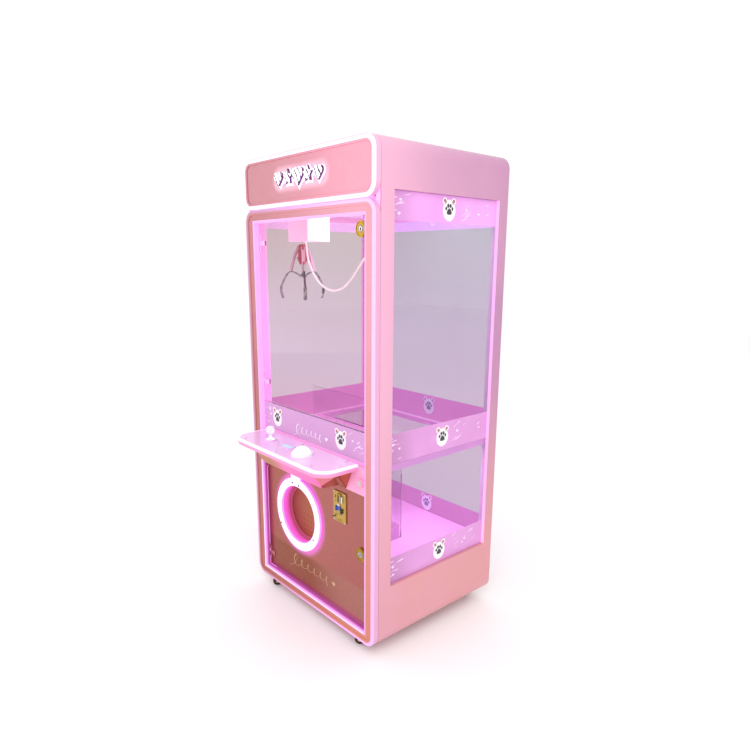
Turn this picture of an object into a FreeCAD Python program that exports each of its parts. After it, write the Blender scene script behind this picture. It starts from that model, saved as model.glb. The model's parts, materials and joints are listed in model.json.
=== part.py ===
"""Claw crane machine: a lit glass cabinet with a gantry claw over a playfield.

Every piece is drawn in cabinet coordinates, in millimetres: x across the front (+x is
the player's right), y is the depth behind the front edge light's face, and z is the
height over the cabinet's underside.  save() shifts it to the object's own frame, whose
origin is on the floor under the middle of the whole object, with +Z up.
"""
import FreeCAD
import Part
import math
import os

V = FreeCAD.Vector
X = V(1, 0, 0)
Y = V(0, 1, 0)
Z = V(0, 0, 1)

# ---- driving dimensions -------------------------------------------------------------
WIDTH = 840.0
DEPTH = 690.0
HEIGHT = 1850.0
CORNER_R = 50.0
SHEET = 3.0
CASTER_H = 50.0
SHELF_REACH = 165.0           # console shelf, forward of the front edge light
LIGHT_W = 20.0                # width of the lit edge round the front
LIGHT_D = 20.0                # depth of the lit edge, where the sheet shell starts
MARQUEE_Z = 1654.0            # underside of the lit header
BAND_IN = 368.0               # half width of the front opening
STRIP_T = 8.0                 # thickness of the lit strip inside that opening
OPEN_Z0 = 36.0
OPEN_Z1 = 1610.0
DOOR_Y = 27.0                 # front face of both doors
DOOR_T = 6.0
WINDOW_Y = (82.0, 638.0)
WINDOW_Z = (239.0, 1682.0)
GLASS_X = 398.0               # inner face of the side glass
GLASS_T = 6.0
BACK_GLASS_Y = 678.0
BACK_WINDOW_X = 366.0
POST = 36.0
POST_X = 376.0
POST_Y = (38.0, 648.0)
SILL_X = POST_X + 8           # half width of the fixed front sill glass
DECK_Z = 720.0
DECK_H = 30.0
FLOOR_Z = 256.0               # top of the lower display chamber's floor
SHELF_Z = 720.0
SILL_TOP = 838.0              # top of the fixed front sill glass
RING_X = -105.0
RING_Z = 378.0
RING_R = 161.5
RING_HOLE_R = 126.5
HINGE_X = -353.0
HINGE_Y = 30.0
PIN_R = 2.5
CLAW_X = -274.0
CLAW_Y = 188.0
CARRIAGE_Z = 1530.0           # underside of the carriage
RAIL_Z = 1650.0
CLAW_ANGLES = (90.0, 210.0, 330.0)
WHEEL_R = 20.0
CASTER_X = 306.0
CASTER_Y = (48.0, 640.0)
CASTER_TRAIL = 18.0

SHIFT = V(0, -(DEPTH - SHELF_REACH) / 2, CASTER_H)


# ---- helpers ------------------------------------------------------------------------
def block(x0, x1, y0, y1, z0, z1):
    return Part.makeBox(x1 - x0, y1 - y0, z1 - z0, V(x0, y0, z0))


def cyl(r, start, axis, length):
    return Part.makeCylinder(r, length, start, axis)


def tube(r_out, r_in, start, axis, length):
    inner = cyl(r_in, start - axis * 1.0, axis, length + 2.0)
    return cyl(r_out, start, axis, length).cut(inner)


def edges_along(shape, axis):
    found = []
    for e in shape.Edges:
        if len(e.Vertexes) == 2:
            d = e.Vertexes[1].Point - e.Vertexes[0].Point
            if d.Length > 1e-6 and abs(d.normalize().dot(axis)) > 0.999:
                found.append(e)
    return found


def rounded(x0, x1, y0, y1, z0, z1, r, axis=Y):
    """A box whose four edges along the axis are rounded."""
    b = block(x0, x1, y0, y1, z0, z1)
    return b.makeFillet(r, edges_along(b, axis))


def ring(half, z0, z1, r, inset, y0, y1):
    """A rounded rectangular ring in the front plane."""
    outer = rounded(-half, half, y0, y1, z0, z1, r)
    inner = rounded(-half + inset, half - inset, y0 - 1, y1 + 1,
                    z0 + inset, z1 - inset, max(r - inset, 0.5))
    return outer.cut(inner)


def prism(points, direction):
    """A closed outline of straight runs, extruded along a vector."""
    wire = Part.makePolygon(list(points) + [points[0]])
    return Part.Face(wire).extrude(direction)


def side_prism(points, x0, x1):
    """An outline in (y, z), extruded across x."""
    return prism([V(x0, y, z) for y, z in points], V(x1 - x0, 0, 0))


def front_prism(points, y0, y1):
    """An outline in (x, z), extruded in depth."""
    return prism([V(x, y0, z) for x, z in points], V(0, y1 - y0, 0))


def plan_prism(points, z0, z1):
    """An outline in (x, y), extruded upward."""
    return prism([V(x, y, z0) for x, y in points], V(0, 0, z1 - z0))


def fuse(*shapes):
    out = shapes[0]
    for s in shapes[1:]:
        out = out.fuse(s)
    return out.removeSplitter()


def mirror_x(shape):
    return shape.mirror(V(0, 0, 0), X)


def turned(shape, centre, axis, degrees):
    out = shape.copy()
    out.rotate(centre, axis, degrees)
    return out


def moved(shape, x, y, z):
    out = shape.copy()
    out.translate(V(x, y, z))
    return out


def save(name, *shapes):
    shape = shapes[0] if len(shapes) == 1 else Part.makeCompound(list(shapes))
    placed = shape.copy()
    placed.translate(SHIFT)
    placed.exportStep("parts/" + name + ".step")


# ---- cabinet shell ------------------------------------------------------------------
ROOF_SEAM = WIDTH / 2 - CORNER_R


def shell_ring():
    outer = rounded(-WIDTH / 2, WIDTH / 2, LIGHT_D + 0.5, DEPTH, 0, HEIGHT, CORNER_R)
    inner = rounded(-WIDTH / 2 + SHEET, WIDTH / 2 - SHEET, 0, DEPTH + 1,
                    SHEET, HEIGHT - SHEET, CORNER_R - SHEET)
    return outer.cut(inner)


def right_side_panel():
    y0, y1 = WINDOW_Y
    z0, z1 = WINDOW_Z
    jamb_x = GLASS_X + GLASS_T + 1
    shell = shell_ring().common(block(ROOF_SEAM, WIDTH, 0, DEPTH + 1, -1, HEIGHT + 1))
    jamb = block(jamb_x, WIDTH / 2 - 1, y0 - SHEET, y1 + SHEET, z0 - SHEET, z1 + SHEET)
    return fuse(shell, jamb).cut(block(jamb_x - 1, WIDTH / 2 + 1, y0, y1, z0, z1))


def roof_panel():
    half = ROOF_SEAM - 0.3
    top = block(-half, half, LIGHT_D + 0.5, DEPTH, HEIGHT - SHEET, HEIGHT)
    lips = [block(-half, half, y, y + SHEET, HEIGHT - 25, HEIGHT - SHEET)
            for y in (LIGHT_D + 0.5, DEPTH - 2 * SHEET - 1)]
    return fuse(top, *lips)


def base_pan():
    half = ROOF_SEAM - 0.3
    pan = block(-half, half, LIGHT_D + 0.5, DEPTH, 0, SHEET)
    lips = [block(-half, half, y, y + SHEET, SHEET, 25)
            for y in (LIGHT_D + 0.5, DEPTH - 2 * SHEET - 1)]
    return [fuse(pan, *lips)] + caster_plates()


INLET = (250.0, 310.0, 70.0, 106.0)


def back_panel():
    gap = SHEET + 0.3
    panel = rounded(-WIDTH / 2 + gap, WIDTH / 2 - gap, DEPTH - SHEET, DEPTH,
                    gap, HEIGHT - gap, CORNER_R - gap)
    z0, z1 = WINDOW_Z
    panel = panel.cut(block(-BACK_WINDOW_X, BACK_WINDOW_X, 0, DEPTH + 1, z0, z1))
    x0, x1, h0, h1 = INLET
    panel = panel.cut(block(x0, x1, 0, DEPTH + 1, h0, h1))
    slots = []
    for column in range(3):
        for row in range(7):
            x = -300 + column * 78
            z = 62 + row * 15
            slots.append(rounded(x, x + 60, DEPTH - 9, DEPTH + 9, z, z + 6, 2.9))
    return panel.cut(Part.makeCompound(slots))


def cabinet_posts():
    inset = SHEET + 0.5
    room = rounded(-WIDTH / 2 + inset, WIDTH / 2 - inset, 0, DEPTH,
                   inset, HEIGHT - inset, CORNER_R - inset)
    posts = []
    for x0 in (POST_X, -POST_X - POST):
        for y0 in POST_Y:
            outer = block(x0, x0 + POST, y0, y0 + POST, 0, HEIGHT)
            post = outer.cut(block(x0 + 2, x0 + POST - 2, y0 + 2, y0 + POST - 2,
                                   -1, HEIGHT + 1))
            posts.append(post.common(room))
    return posts


def window_glass():
    y0 = POST_Y[0] + POST + 0.5
    y1 = POST_Y[1] - 0.5
    z0 = WINDOW_Z[0] - 11
    z1 = WINDOW_Z[1] + 11
    right = block(GLASS_X, GLASS_X + GLASS_T, y0, y1, z0, z1)
    half = POST_X - 1
    back = block(-half, half, BACK_GLASS_Y, BACK_GLASS_Y + GLASS_T, z0, z1)
    sill = block(-SILL_X, SILL_X, DOOR_Y, DOOR_Y + DOOR_T, SHELF_Z + 2, SILL_TOP)
    return [right, mirror_x(right), back, sill]


# ---- lit header and front frame -----------------------------------------------------
def front_frame():
    in_r = CORNER_R - LIGHT_W
    half = WIDTH / 2 - LIGHT_W - 0.3
    z1 = MARQUEE_Z - 4 - LIGHT_W - 0.3
    z0 = LIGHT_W + 0.3
    cut = block(-BAND_IN, BAND_IN, -1, 60, OPEN_Z0, OPEN_Z1)
    face = rounded(-half, half, 2, 5, z0, z1, in_r).cut(cut)
    rim = block(-BAND_IN - 3, BAND_IN + 3, 5, DOOR_Y - 1, OPEN_Z0 - 3, OPEN_Z1 + 3)
    outer = rounded(-half, half, 5, LIGHT_D, z0, z1, in_r)
    outer = outer.cut(rounded(-half + 3, half - 3, 4, LIGHT_D + 1,
                              z0 + 3, z1 - 3, in_r - 3))
    return fuse(face, rim.cut(cut), outer)


def front_frame_lights():
    edge = ring(WIDTH / 2, 0, MARQUEE_Z - 4, CORNER_R, LIGHT_W, 0, LIGHT_D)
    strip = block(-BAND_IN, BAND_IN, 2, DOOR_Y - 2, OPEN_Z0, OPEN_Z1)
    clear = BAND_IN - STRIP_T
    strip = strip.cut(block(-clear, clear, 0, 60, OPEN_Z0 + STRIP_T, OPEN_Z1 - STRIP_T))
    return [edge, strip]


MARQUEE_EDGE = 22.0


def marquee_edge_light():
    return ring(WIDTH / 2, MARQUEE_Z, HEIGHT, CORNER_R, MARQUEE_EDGE, 0, LIGHT_D)


def marquee_panel():
    inset = MARQUEE_EDGE + 0.3
    half = WIDTH / 2 - inset
    face = rounded(-half, half, 3, 8, MARQUEE_Z + inset, HEIGHT - inset,
                   CORNER_R - inset)
    back = block(-half + 8, half - 8, 8, 18, MARQUEE_Z + inset + 8, HEIGHT - inset - 8)
    return fuse(face, back)


EMBLEM_Z = 1757.0
EMBLEM_PITCH = 65.0
EMBLEM_X = -15.0


def heart(cx, cz, w, y0, y1):
    r = 0.27 * w
    lobe_x = 0.225 * w
    lobe_z = 0.14 * w
    tip = V(cx, y0, cz - 0.5 * w)
    parts = []
    flank = [tip]
    for side in (1, -1):
        centre = V(cx + side * lobe_x, y0, cz + lobe_z)
        reach = (centre - tip).Length
        lean = math.atan2(centre.x - tip.x, centre.z - tip.z)
        open_angle = math.asin(r / reach)
        along = math.sqrt(reach * reach - r * r)
        a = lean + side * open_angle
        flank.append(V(tip.x + along * math.sin(a), y0, tip.z + along * math.cos(a)))
        parts.append(cyl(r, centre, Y, y1 - y0))
    body = prism([flank[0], flank[1], V(cx, y0, cz + lobe_z), flank[2]],
                 V(0, y1 - y0, 0))
    return fuse(body, *parts)


def star(cx, cz, w, y0, y1):
    points = []
    for i in range(10):
        a = math.radians(90 + 36 * i)
        r = 0.55 * w if i % 2 == 0 else 0.27 * w
        points.append((cx + r * math.cos(a), cz + r * math.sin(a)))
    return front_prism(points, y0, y1)


def marquee_emblem():
    shapes = []
    for i in range(5):
        cx = EMBLEM_X + (i - 2) * EMBLEM_PITCH
        make = heart if i % 2 == 0 else star
        size = 70 if i == 2 else 54
        shapes.append(make(cx, EMBLEM_Z, size, -9, 3))
    return shapes


# ---- hinges, doors and locks --------------------------------------------------------
GLASS_DOOR_Z = (841.0, 1600.5)
SERVICE_DOOR_Z = (45.5, 599.0)
GLASS_HINGES = (930.0, 1520.0)
SERVICE_HINGES = (110.0, 560.0)
DOOR_X = (-358.5, 358.0)
NOTCH_X = -346.0              # the doors are notched to here round each hinge
CAM_END_X = 365.0             # how far the lock cams reach when turned
GLASS_LOCK = (318.0, 1556.0)
SERVICE_LOCK = (315.0, 350.0)
BARREL_R = 11.0
PLUG_R = 8.0


def frame_hinges_and_keepers():
    shapes = []
    for z in GLASS_HINGES + SERVICE_HINGES:
        pin = cyl(PIN_R, V(HINGE_X, HINGE_Y, z - 30), Z, 60)
        knuckles = [cyl(4.8, V(HINGE_X, HINGE_Y, z + s), Z, 19.7) for s in (-30, 10.3)]
        leaves = [fuse(block(-396, HINGE_X, 29, 31.5, z + s, z + s + 19.7),
                       block(-396, -380, 31.5, POST_Y[0], z + s, z + s + 19.7))
                  for s in (-30, 10.3)]
        shapes.append(fuse(pin, *(knuckles + leaves)))
    for lock in (GLASS_LOCK, SERVICE_LOCK):
        shapes.append(block(351, POST_X, 41, 44, lock[1] - 20, lock[1] + 20))
    return shapes


def door_hinge_leaf(z):
    knuckle = tube(4.8, PIN_R + 0.05, V(HINGE_X, HINGE_Y, z - 10), Z, 20)
    clamp = block(HINGE_X + 3, HINGE_X + 37, 24.2, 35.8, z - 10, z + 10)
    clamp = clamp.cut(block(NOTCH_X - 0.2, -300, DOOR_Y - 0.1, DOOR_Y + DOOR_T + 0.1,
                            z - 11, z + 11))
    bore = cyl(PIN_R + 0.05, V(HINGE_X, HINGE_Y, z - 11), Z, 22)
    return fuse(knuckle, clamp).cut(bore)


def lock_case(x, z):
    collar = tube(27.5, PLUG_R + 0.05, V(x, 20, z), Y, 7)
    collar = collar.cut(tube(24, 21.5, V(x, 19, z), Y, 2.5))
    barrel = tube(BARREL_R, PLUG_R + 0.05, V(x, 26, z), Y, 19)
    return fuse(collar, barrel)


def lock_plug(x, z):
    plug = cyl(PLUG_R, V(x, 19, z), Y, 27)
    plug = plug.cut(block(x - 1, x + 1, 18, 27, z - 5, z + 5))
    cam = block(x - 8, x + 8, 46, 49, z - (CAM_END_X - x), z + 9)
    return fuse(plug, cam)


def door_hole(x, z):
    return cyl(BARREL_R + 0.1, V(x, 0, z), Y, 60)


def door_panel(heights, hinges, lock):
    panel = block(DOOR_X[0], DOOR_X[1], DOOR_Y, DOOR_Y + DOOR_T, *heights)
    notches = [block(DOOR_X[0] - 1, NOTCH_X, 0, 60, z - 31, z + 31) for z in hinges]
    return panel.cut(notches + [door_hole(*lock)])


def glass_door():
    return door_panel(GLASS_DOOR_Z, GLASS_HINGES, GLASS_LOCK)


def glass_door_hardware():
    return [door_hinge_leaf(z) for z in GLASS_HINGES] + [lock_case(*GLASS_LOCK)]


COIN = (145.0, 224.0, 441.0, 567.0)
COIN_X = 184.0                # centre line of the slot, button and return cup


def service_door():
    panel = door_panel(SERVICE_DOOR_Z, SERVICE_HINGES, SERVICE_LOCK)
    panel = panel.cut(cyl(RING_HOLE_R + 3.2, V(RING_X, 0, RING_Z), Y, 60))
    x0, x1, z0, z1 = COIN
    return panel.cut(block(x0 + 8, x1 - 8, 0, 60, z0 + 5, z1 - 8))


def service_door_hardware():
    return [door_hinge_leaf(z) for z in SERVICE_HINGES] + [lock_case(*SERVICE_LOCK)]


# ---- prize outlet -------------------------------------------------------------------
FLAP_R = 119.5
FLAP_Y = 66.6
FLAP_AXIS_Y = 68.5
FLAP_HINGE_Z = 480.0
FLAP_Z = 380.0


def prize_ring_light():
    face = cyl(RING_R, V(RING_X, 17, RING_Z), Y, 10)
    tab = block(RING_X - 45, RING_X + 25, 17, 27, RING_Z + 120, 597)
    bore = cyl(RING_HOLE_R, V(RING_X, 0, RING_Z), Y, 60)
    return fuse(face, tab).cut(bore)


def prize_tunnel():
    wall = tube(RING_HOLE_R + 3, RING_HOLE_R, V(RING_X, 27.1, RING_Z), Y, 43)
    stop = tube(RING_HOLE_R + 1, 112, V(RING_X, 63, RING_Z), Y, 3)
    stop = stop.cut(block(-400, 400, 57, 77, 474, 520))
    pins = cyl(2.05, V(RING_X - 100, FLAP_AXIS_Y, FLAP_HINGE_Z), X, 200)
    return fuse(wall, stop).cut(pins)


def prize_flap():
    disc = cyl(FLAP_R, V(RING_X, FLAP_Y, FLAP_Z), Y, 3)
    disc = disc.cut(block(-400, 400, 57, 77, FLAP_HINGE_Z - 3, 520))
    spindle = cyl(2, V(RING_X - 77, FLAP_AXIS_Y, FLAP_HINGE_Z), X, 154)
    rib = block(RING_X - 60, RING_X + 60, FLAP_Y, FLAP_Y + 3, FLAP_HINGE_Z - 6,
                FLAP_HINGE_Z)
    return fuse(disc, spindle, rib)


# ---- coin door pieces ---------------------------------------------------------------
RETURN_Z = 472.0
REJECT_Z = 500.0


def coin_plate():
    x0, x1, z0, z1 = COIN
    plate = rounded(x0, x1, 22, DOOR_Y - 0.1, z0, z1, 5)
    x, z = COIN_X, REJECT_Z
    bezel = rounded(x - 13, x + 13, 16, 22, z + 22, z + 60, 4)
    slot = block(x - 1.6, x + 1.6, 0, 80, z + 26, z + 56)
    cup = block(x - 24, x + 24, 0, 60, RETURN_Z - 27, RETURN_Z + 2)
    mech = block(x - 29, x + 29, DOOR_Y, 94, z - 52, z + 56)
    body = fuse(plate, bezel, mech)
    return body.cut([slot, cup, cyl(9.05, V(x, 0, z), Y, 46)])


def coin_reject_button():
    return cyl(9, V(COIN_X, 18, REJECT_Z), Y, 20)


def coin_return_flap():
    x = COIN_X
    leaf = block(x - 23, x + 23, 22.5, 24.5, RETURN_Z - 26, RETURN_Z)
    lug = block(x - 9, x + 9, 19.5, 22.5, RETURN_Z - 24, RETURN_Z - 20)
    return fuse(leaf, lug)


# ---- console ------------------------------------------------------------------------
SHELF_HALF = 320.0
SHELF_BACK = 5.0
CONSOLE_BACK = 5.2
SHELF_R = 70.0
SHELF_RIM = 9.0
JOYSTICK = (-155.0, -75.0)
JOYSTICK_PIVOT_Z = 700.0
BUTTON = (95.0, -88.0)
DISPLAY = (-62.0, 7.0, -91.0, -57.0)
CONSOLE_LOCK = (343.0, 655.0)


def shelf_outline(inset, z0, z1):
    half = SHELF_HALF - inset
    slab = block(-half, half, -SHELF_REACH + inset, SHELF_BACK, z0, z1)
    front = [e for e in edges_along(slab, Z)
             if e.Vertexes[0].Point.y < -SHELF_REACH + inset + 1]
    return slab.makeFillet(SHELF_R - inset, front)


def console_top():
    top = shelf_outline(SHELF_RIM + 0.3, 714, SHELF_Z)
    top = top.cut(cyl(13, V(JOYSTICK[0], JOYSTICK[1], 600), Z, 200))
    top = top.cut(cyl(12, V(BUTTON[0], BUTTON[1], 600), Z, 200))
    x0, x1, y0, y1 = DISPLAY
    return [top.cut(block(x0 + 4, x1 - 4, y0 + 4, y1 - 4, 700, 740)), display()]


def console_edge_light():
    outer = shelf_outline(0, 701, 719)
    return outer.cut(shelf_outline(SHELF_RIM, 690, 730).fuse(
        block(-SHELF_HALF + SHELF_RIM, SHELF_HALF - SHELF_RIM, -60, 30, 690, 730)))


def belly_shape(inset):
    """Under the shelf: a nose with a sloped front, and a wing behind it at each side."""
    back = CONSOLE_BACK
    foot = 604 + inset
    nose = side_prism([(-133 + inset, 700), (-77 + inset, 612 + inset), (back, foot),
                       (back, 700)], -400, 400)
    nose = nose.common(front_prism([(-262 + inset, 700), (-200 + inset, foot),
                                    (200 - inset, foot), (262 - inset, 700)], -300, 100))
    nose = nose.common(plan_prism([(-245 + inset, back), (-200 + inset, -133),
                                   (200 - inset, -133), (245 - inset, back)], 500, 800))
    wing = side_prism([(-85 + inset, 700), (back, foot), (back, 700)], -400, 400)
    wing = wing.common(front_prism([(-296 + inset, 700), (-250 + inset, foot),
                                    (250 - inset, foot), (296 - inset, 700)], -300, 100))
    return nose.fuse(wing)


def console_box():
    lip = shelf_outline(3, 694, 700)
    belly = fuse(lip, belly_shape(0)).cut(belly_shape(3))
    back = CONSOLE_BACK
    end = BAND_IN - STRIP_T - 0.5
    rail = block(-end, end, back, 26, 604, 712)
    rail = rail.cut(block(-end + 3, end - 3, back + 3, 27, 607, 709))
    ears = block(end - 3, SILL_X, 28, POST_Y[0], 640, 688)
    ears = fuse(ears, block(end - 3, end, 20, 30, 640, 688))
    x, z = CONSOLE_LOCK
    boss = cyl(16, V(x, -8, z), Y, 14)
    bore = cyl(PLUG_R + 0.05, V(x, -10, z), Y, 60)
    return fuse(belly, rail, ears, mirror_x(ears), boss).cut(bore)


def console_lock_plug():
    x, z = CONSOLE_LOCK
    plug = cyl(PLUG_R, V(x, -9.5, z), Y, 24)
    return plug.cut(block(x - 1, x + 1, -10, -3, z - 5, z + 5))


def display():
    x0, x1, y0, y1 = DISPLAY
    frame = rounded(x0, x1, y0, y1, SHELF_Z + 0.1, SHELF_Z + 3, 3, Z)
    frame = frame.cut(block(x0 + 6, x1 - 6, y0 + 5, y1 - 5, SHELF_Z + 1.5, 740))
    return fuse(frame, block(x0 + 5, x1 - 5, y0 + 5, y1 - 5, 702, SHELF_Z + 0.5))


def joystick_base():
    x, y = JOYSTICK
    bezel = tube(25, 13, V(x, y, SHELF_Z + 0.1), Z, 5)
    bezel = bezel.makeFillet(2.5, [e for e in bezel.Edges
                                   if abs(e.CenterOfMass.z - SHELF_Z - 5.1) < 0.1
                                   and e.Length > 140])
    cup = tube(20, 14, V(x, y, 690), Z, 23.9)
    return [bezel, cup]


def joystick_gimbal():
    x, y = JOYSTICK
    z = JOYSTICK_PIVOT_Z
    hoop = tube(11, 6, V(x, y, z - 2.5), Z, 5)
    stubs = [cyl(1.5, V(x + s, y, z), X, 3.2) for s in (-13.7, 10.5)]
    return fuse(hoop, *stubs)


def joystick_stick():
    x, y = JOYSTICK
    shaft = cyl(3.5, V(x, y, 686), Z, 66)
    sleeve = Part.makeCone(8.5, 5.5, 12, V(x, y, 731), Z)
    shaft = fuse(shaft, sleeve)
    ball = Part.makeSphere(18, V(x, y, 764)).cut(cyl(3.5, V(x, y, 730), Z, 22))
    return [shaft, ball]


def button_bezel():
    x, y = BUTTON
    rim = tube(42, 35.9, V(x, y, SHELF_Z + 0.1), Z, 10)
    floor = tube(37, 12, V(x, y, SHELF_Z + 0.1), Z, 2)
    barrel = tube(11.8, 10.1, V(x, y, 684), Z, 36.5)
    sole = tube(13, 10.1, V(x, y, SHELF_Z + 0.1), Z, 2)
    return fuse(rim, floor, sole, barrel)


def grab_button():
    x, y = BUTTON
    cap_r = 35.5
    rise = 24.0
    ball_r = (cap_r * cap_r + rise * rise) / (2 * rise)
    dome = Part.makeSphere(ball_r, V(x, y, 731 + rise - ball_r))
    dome = dome.common(cyl(cap_r, V(x, y, 731), Z, 40))
    skirt = cyl(cap_r, V(x, y, 726.5), Z, 4.5)
    stem = cyl(10, V(x, y, 690), Z, 40)
    return fuse(dome, skirt, stem)


# ---- playfield and lower chamber ----------------------------------------------------
HOLE = (-350.0, 140.0, 60.0, 280.0)
PLAY = (-356.0, 356.0, 362.0, 640.0)
DECK_X = 396.5
DECK_Y = (36.0, 677.0)


def without_posts(shape):
    for x0 in (POST_X - 0.5, -POST_X - POST):
        for y0 in POST_Y:
            shape = shape.cut(block(x0, x0 + POST + 0.5, y0 - 9, y0 + POST + 1, 0, 2000))
    return shape


def playfield_deck():
    def frame(x0, x1, y0, y1, z0, z1, t):
        return block(x0 - t, x1 + t, y0 - t, y1 + t, z0, z1).cut(
            block(x0, x1, y0, y1, z0 - 1, z1 + 1))
    top = block(-DECK_X, DECK_X, DECK_Y[0], DECK_Y[1], DECK_Z - SHEET, DECK_Z)
    skirt = frame(-DECK_X + SHEET, DECK_X - SHEET, DECK_Y[0] + SHEET,
                  DECK_Y[1] - SHEET, DECK_Z - DECK_H, DECK_Z - 1, SHEET)
    lips = [frame(h[0], h[1], h[2], h[3], DECK_Z - 18, DECK_Z - 1, SHEET)
            for h in (HOLE, PLAY)]
    holes = [block(h[0], h[1], h[2], h[3], 600, 800) for h in (HOLE, PLAY)]
    deck = fuse(top, skirt, *lips)
    for h in holes:
        deck = deck.cut(h)
    return without_posts(deck)


def playfield_floor():
    x0, x1, y0, y1 = PLAY
    return block(x0 - 8, x1 + 8, y0 - 8, y1 + 6, DECK_Z, DECK_Z + 5)


def prize_chute():
    fence_top = DECK_Z + 150
    fence_back = block(-374, 145, 300, 304, DECK_Z, fence_top)
    fence_side = block(141, 145, 42, 299.7, DECK_Z, fence_top)
    z0 = FLOOR_Z + 0.3
    z1 = DECK_Z - 18.5
    drop_back = block(-373, 161, 378, 382, z0, DECK_Z - SHEET - 16)
    drop_side = block(157, 161, 118, 377.7, z0, z1)
    return [fence_back, fence_side, drop_back, drop_side]


def chamber_floor():
    plate = block(-DECK_X, DECK_X, 100, DECK_Y[1], FLOOR_Z - SHEET, FLOOR_Z)
    apron = block(-DECK_X, DECK_X, 100, 100 + SHEET, FLOOR_Z - 35, FLOOR_Z - 1)
    tail = block(-DECK_X, DECK_X, DECK_Y[1] - SHEET, DECK_Y[1], FLOOR_Z - 35, FLOOR_Z - 1)
    floor = without_posts(fuse(plate, apron, tail))
    wedge = side_prism([(132, FLOOR_Z + 0.3), (374, FLOOR_Z + 0.3), (374, FLOOR_Z + 60)],
                       -350, 153)
    hollow = side_prism([(152, FLOOR_Z), (371, FLOOR_Z), (371, FLOOR_Z + 54)], -347, 150)
    return [floor, wedge.cut(hollow)]


# ---- inside the base ----------------------------------------------------------------
def control_electronics():
    supply = rounded(-330, -130, 430, 530, SHEET + 8, SHEET + 58, 3, Z)
    board = block(-60, 120, 420, 560, SHEET + 16, SHEET + 18)
    chips = [block(x, x + 26, y, y + 18, SHEET + 18, SHEET + 24)
             for x in (-44, 0, 44) for y in (440, 500)]
    plugs = block(80, 108, 430, 545, SHEET + 18, SHEET + 30)
    legs = [cyl(4, V(x, y, SHEET), Z, 13) for x in (-52, 112) for y in (428, 552)]
    feet = block(-320, -140, 440, 520, SHEET, SHEET + 8.5)
    return [fuse(supply, feet), fuse(board, plugs, *(chips + legs))]


def cash_box():
    x0, x1, y0, y1 = 120, 300, 110, 300
    tray = block(x0, x1, y0, y1, SHEET, 110)
    tray = tray.cut(block(x0 + 2, x1 - 2, y0 + 2, y1 - 2, SHEET + 2, 111))
    lid = block(x0, x1, y0, y1, 110, 112).cut(block(160, 190, 130, 170, 100, 120))
    return fuse(tray, lid)


def power_inlet():
    x0, x1, z0, z1 = INLET
    shell = block(x0 + 0.5, x1 - 0.5, DEPTH - 34, DEPTH - 0.5, z0 + 0.5, z1 - 0.5)
    well = rounded(x0 + 5, x0 + 33, DEPTH - 20, DEPTH, z0 + 8, z1 - 8, 4)
    shell = shell.cut(well)
    blades = [block(x, x + 2, DEPTH - 20.5, DEPTH - 4, z - 3, z + 3)
              for x, z in ((x0 + 11, z0 + 16), (x0 + 25, z0 + 16), (x0 + 18, z0 + 21))]
    rocker = side_prism([(DEPTH - 2, z0 + 9), (DEPTH - 0.4, z0 + 12), (DEPTH - 1.4, z1 - 9),
                         (DEPTH - 2, z1 - 9)], x1 - 20, x1 - 7)
    return fuse(shell, rocker, *blades)


# ---- gantry and claw ----------------------------------------------------------------
RAIL_X = (350.0, 374.0)
BEAM_Y = (CLAW_Y + 7, CLAW_Y + 64)
BEAM_Z = (1657.0, 1682.0)


def gantry_rails():
    z0 = RAIL_Z - 25
    side = block(RAIL_X[0], RAIL_X[1], 70, 652, z0, RAIL_Z)
    side = side.cut(block(RAIL_X[0] + 2.5, RAIL_X[1] - 2.5, 69, 653, z0 + 2.5, RAIL_Z - 2.5))
    cross = []
    for y0 in (50, 652):
        bar = block(-POST_X, POST_X, y0, y0 + 20, z0, RAIL_Z)
        cross.append(bar.cut(block(-POST_X - 1, POST_X + 1, y0 + 2.5, y0 + 17.5,
                                   z0 + 2.5, RAIL_Z - 2.5)))
    return [side, mirror_x(side)] + cross


def bridge():
    y0, y1 = BEAM_Y
    z0, z1 = BEAM_Z
    beam = block(-346, 346, y0, y1, z0, z1)
    beam = beam.cut(block(-347, 347, y0 + 3, y1 - 3, z0 + 3, z1 - 3))
    truck = block(345, 374, y0 - 20, y1 + 20, RAIL_Z + 1, z1)
    truck = truck.cut(block(349, 375, y0 - 12, y1 + 12, RAIL_Z, RAIL_Z + 22))
    rollers = [cyl(10, V(352, y, RAIL_Z + 10.3), X, 18) for y in (y0 + 4, y1 - 4)]
    axles = [cyl(3, V(347, y, RAIL_Z + 10.3), X, 26) for y in (y0 + 4, y1 - 4)]
    right = fuse(truck, *(rollers + axles))
    return fuse(beam, right, mirror_x(right))


def carriage():
    x0, x1 = CLAW_X - 74, CLAW_X + 74
    y0, y1 = CLAW_Y - 23, CLAW_Y + 94
    case = rounded(x0, x1, y0, y1, CARRIAGE_Z, RAIL_Z - 1, 6, Z)
    case = case.cut(block(x0 + 3, x1 - 3, y0 + 3, y1 - 3, CARRIAGE_Z + 3, RAIL_Z - 4))
    hangers = [block(x0 + 20, x1 - 20, y, y + 4, RAIL_Z - 3, BEAM_Z[1] + 6)
               for y in (BEAM_Y[0] - 5.5, BEAM_Y[1] + 1.5)]
    hole = cyl(7, V(CLAW_X, CLAW_Y, 1500), Z, 60)
    drum = cyl(22, V(CLAW_X - 14, CLAW_Y + 23.7, 1598), X, 44)
    motor = cyl(19, V(CLAW_X + 30, CLAW_Y + 23.7, 1598), X, 36)
    stand = block(CLAW_X - 20, CLAW_X - 14, CLAW_Y + 5, CLAW_Y + 45, CARRIAGE_Z + 3, 1620)
    return [fuse(case, *hangers).cut(hole), fuse(drum, motor, stand)]


def hoist_cable():
    return cyl(1.5, V(CLAW_X, CLAW_Y, CAP_Z), Z, 80)


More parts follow.
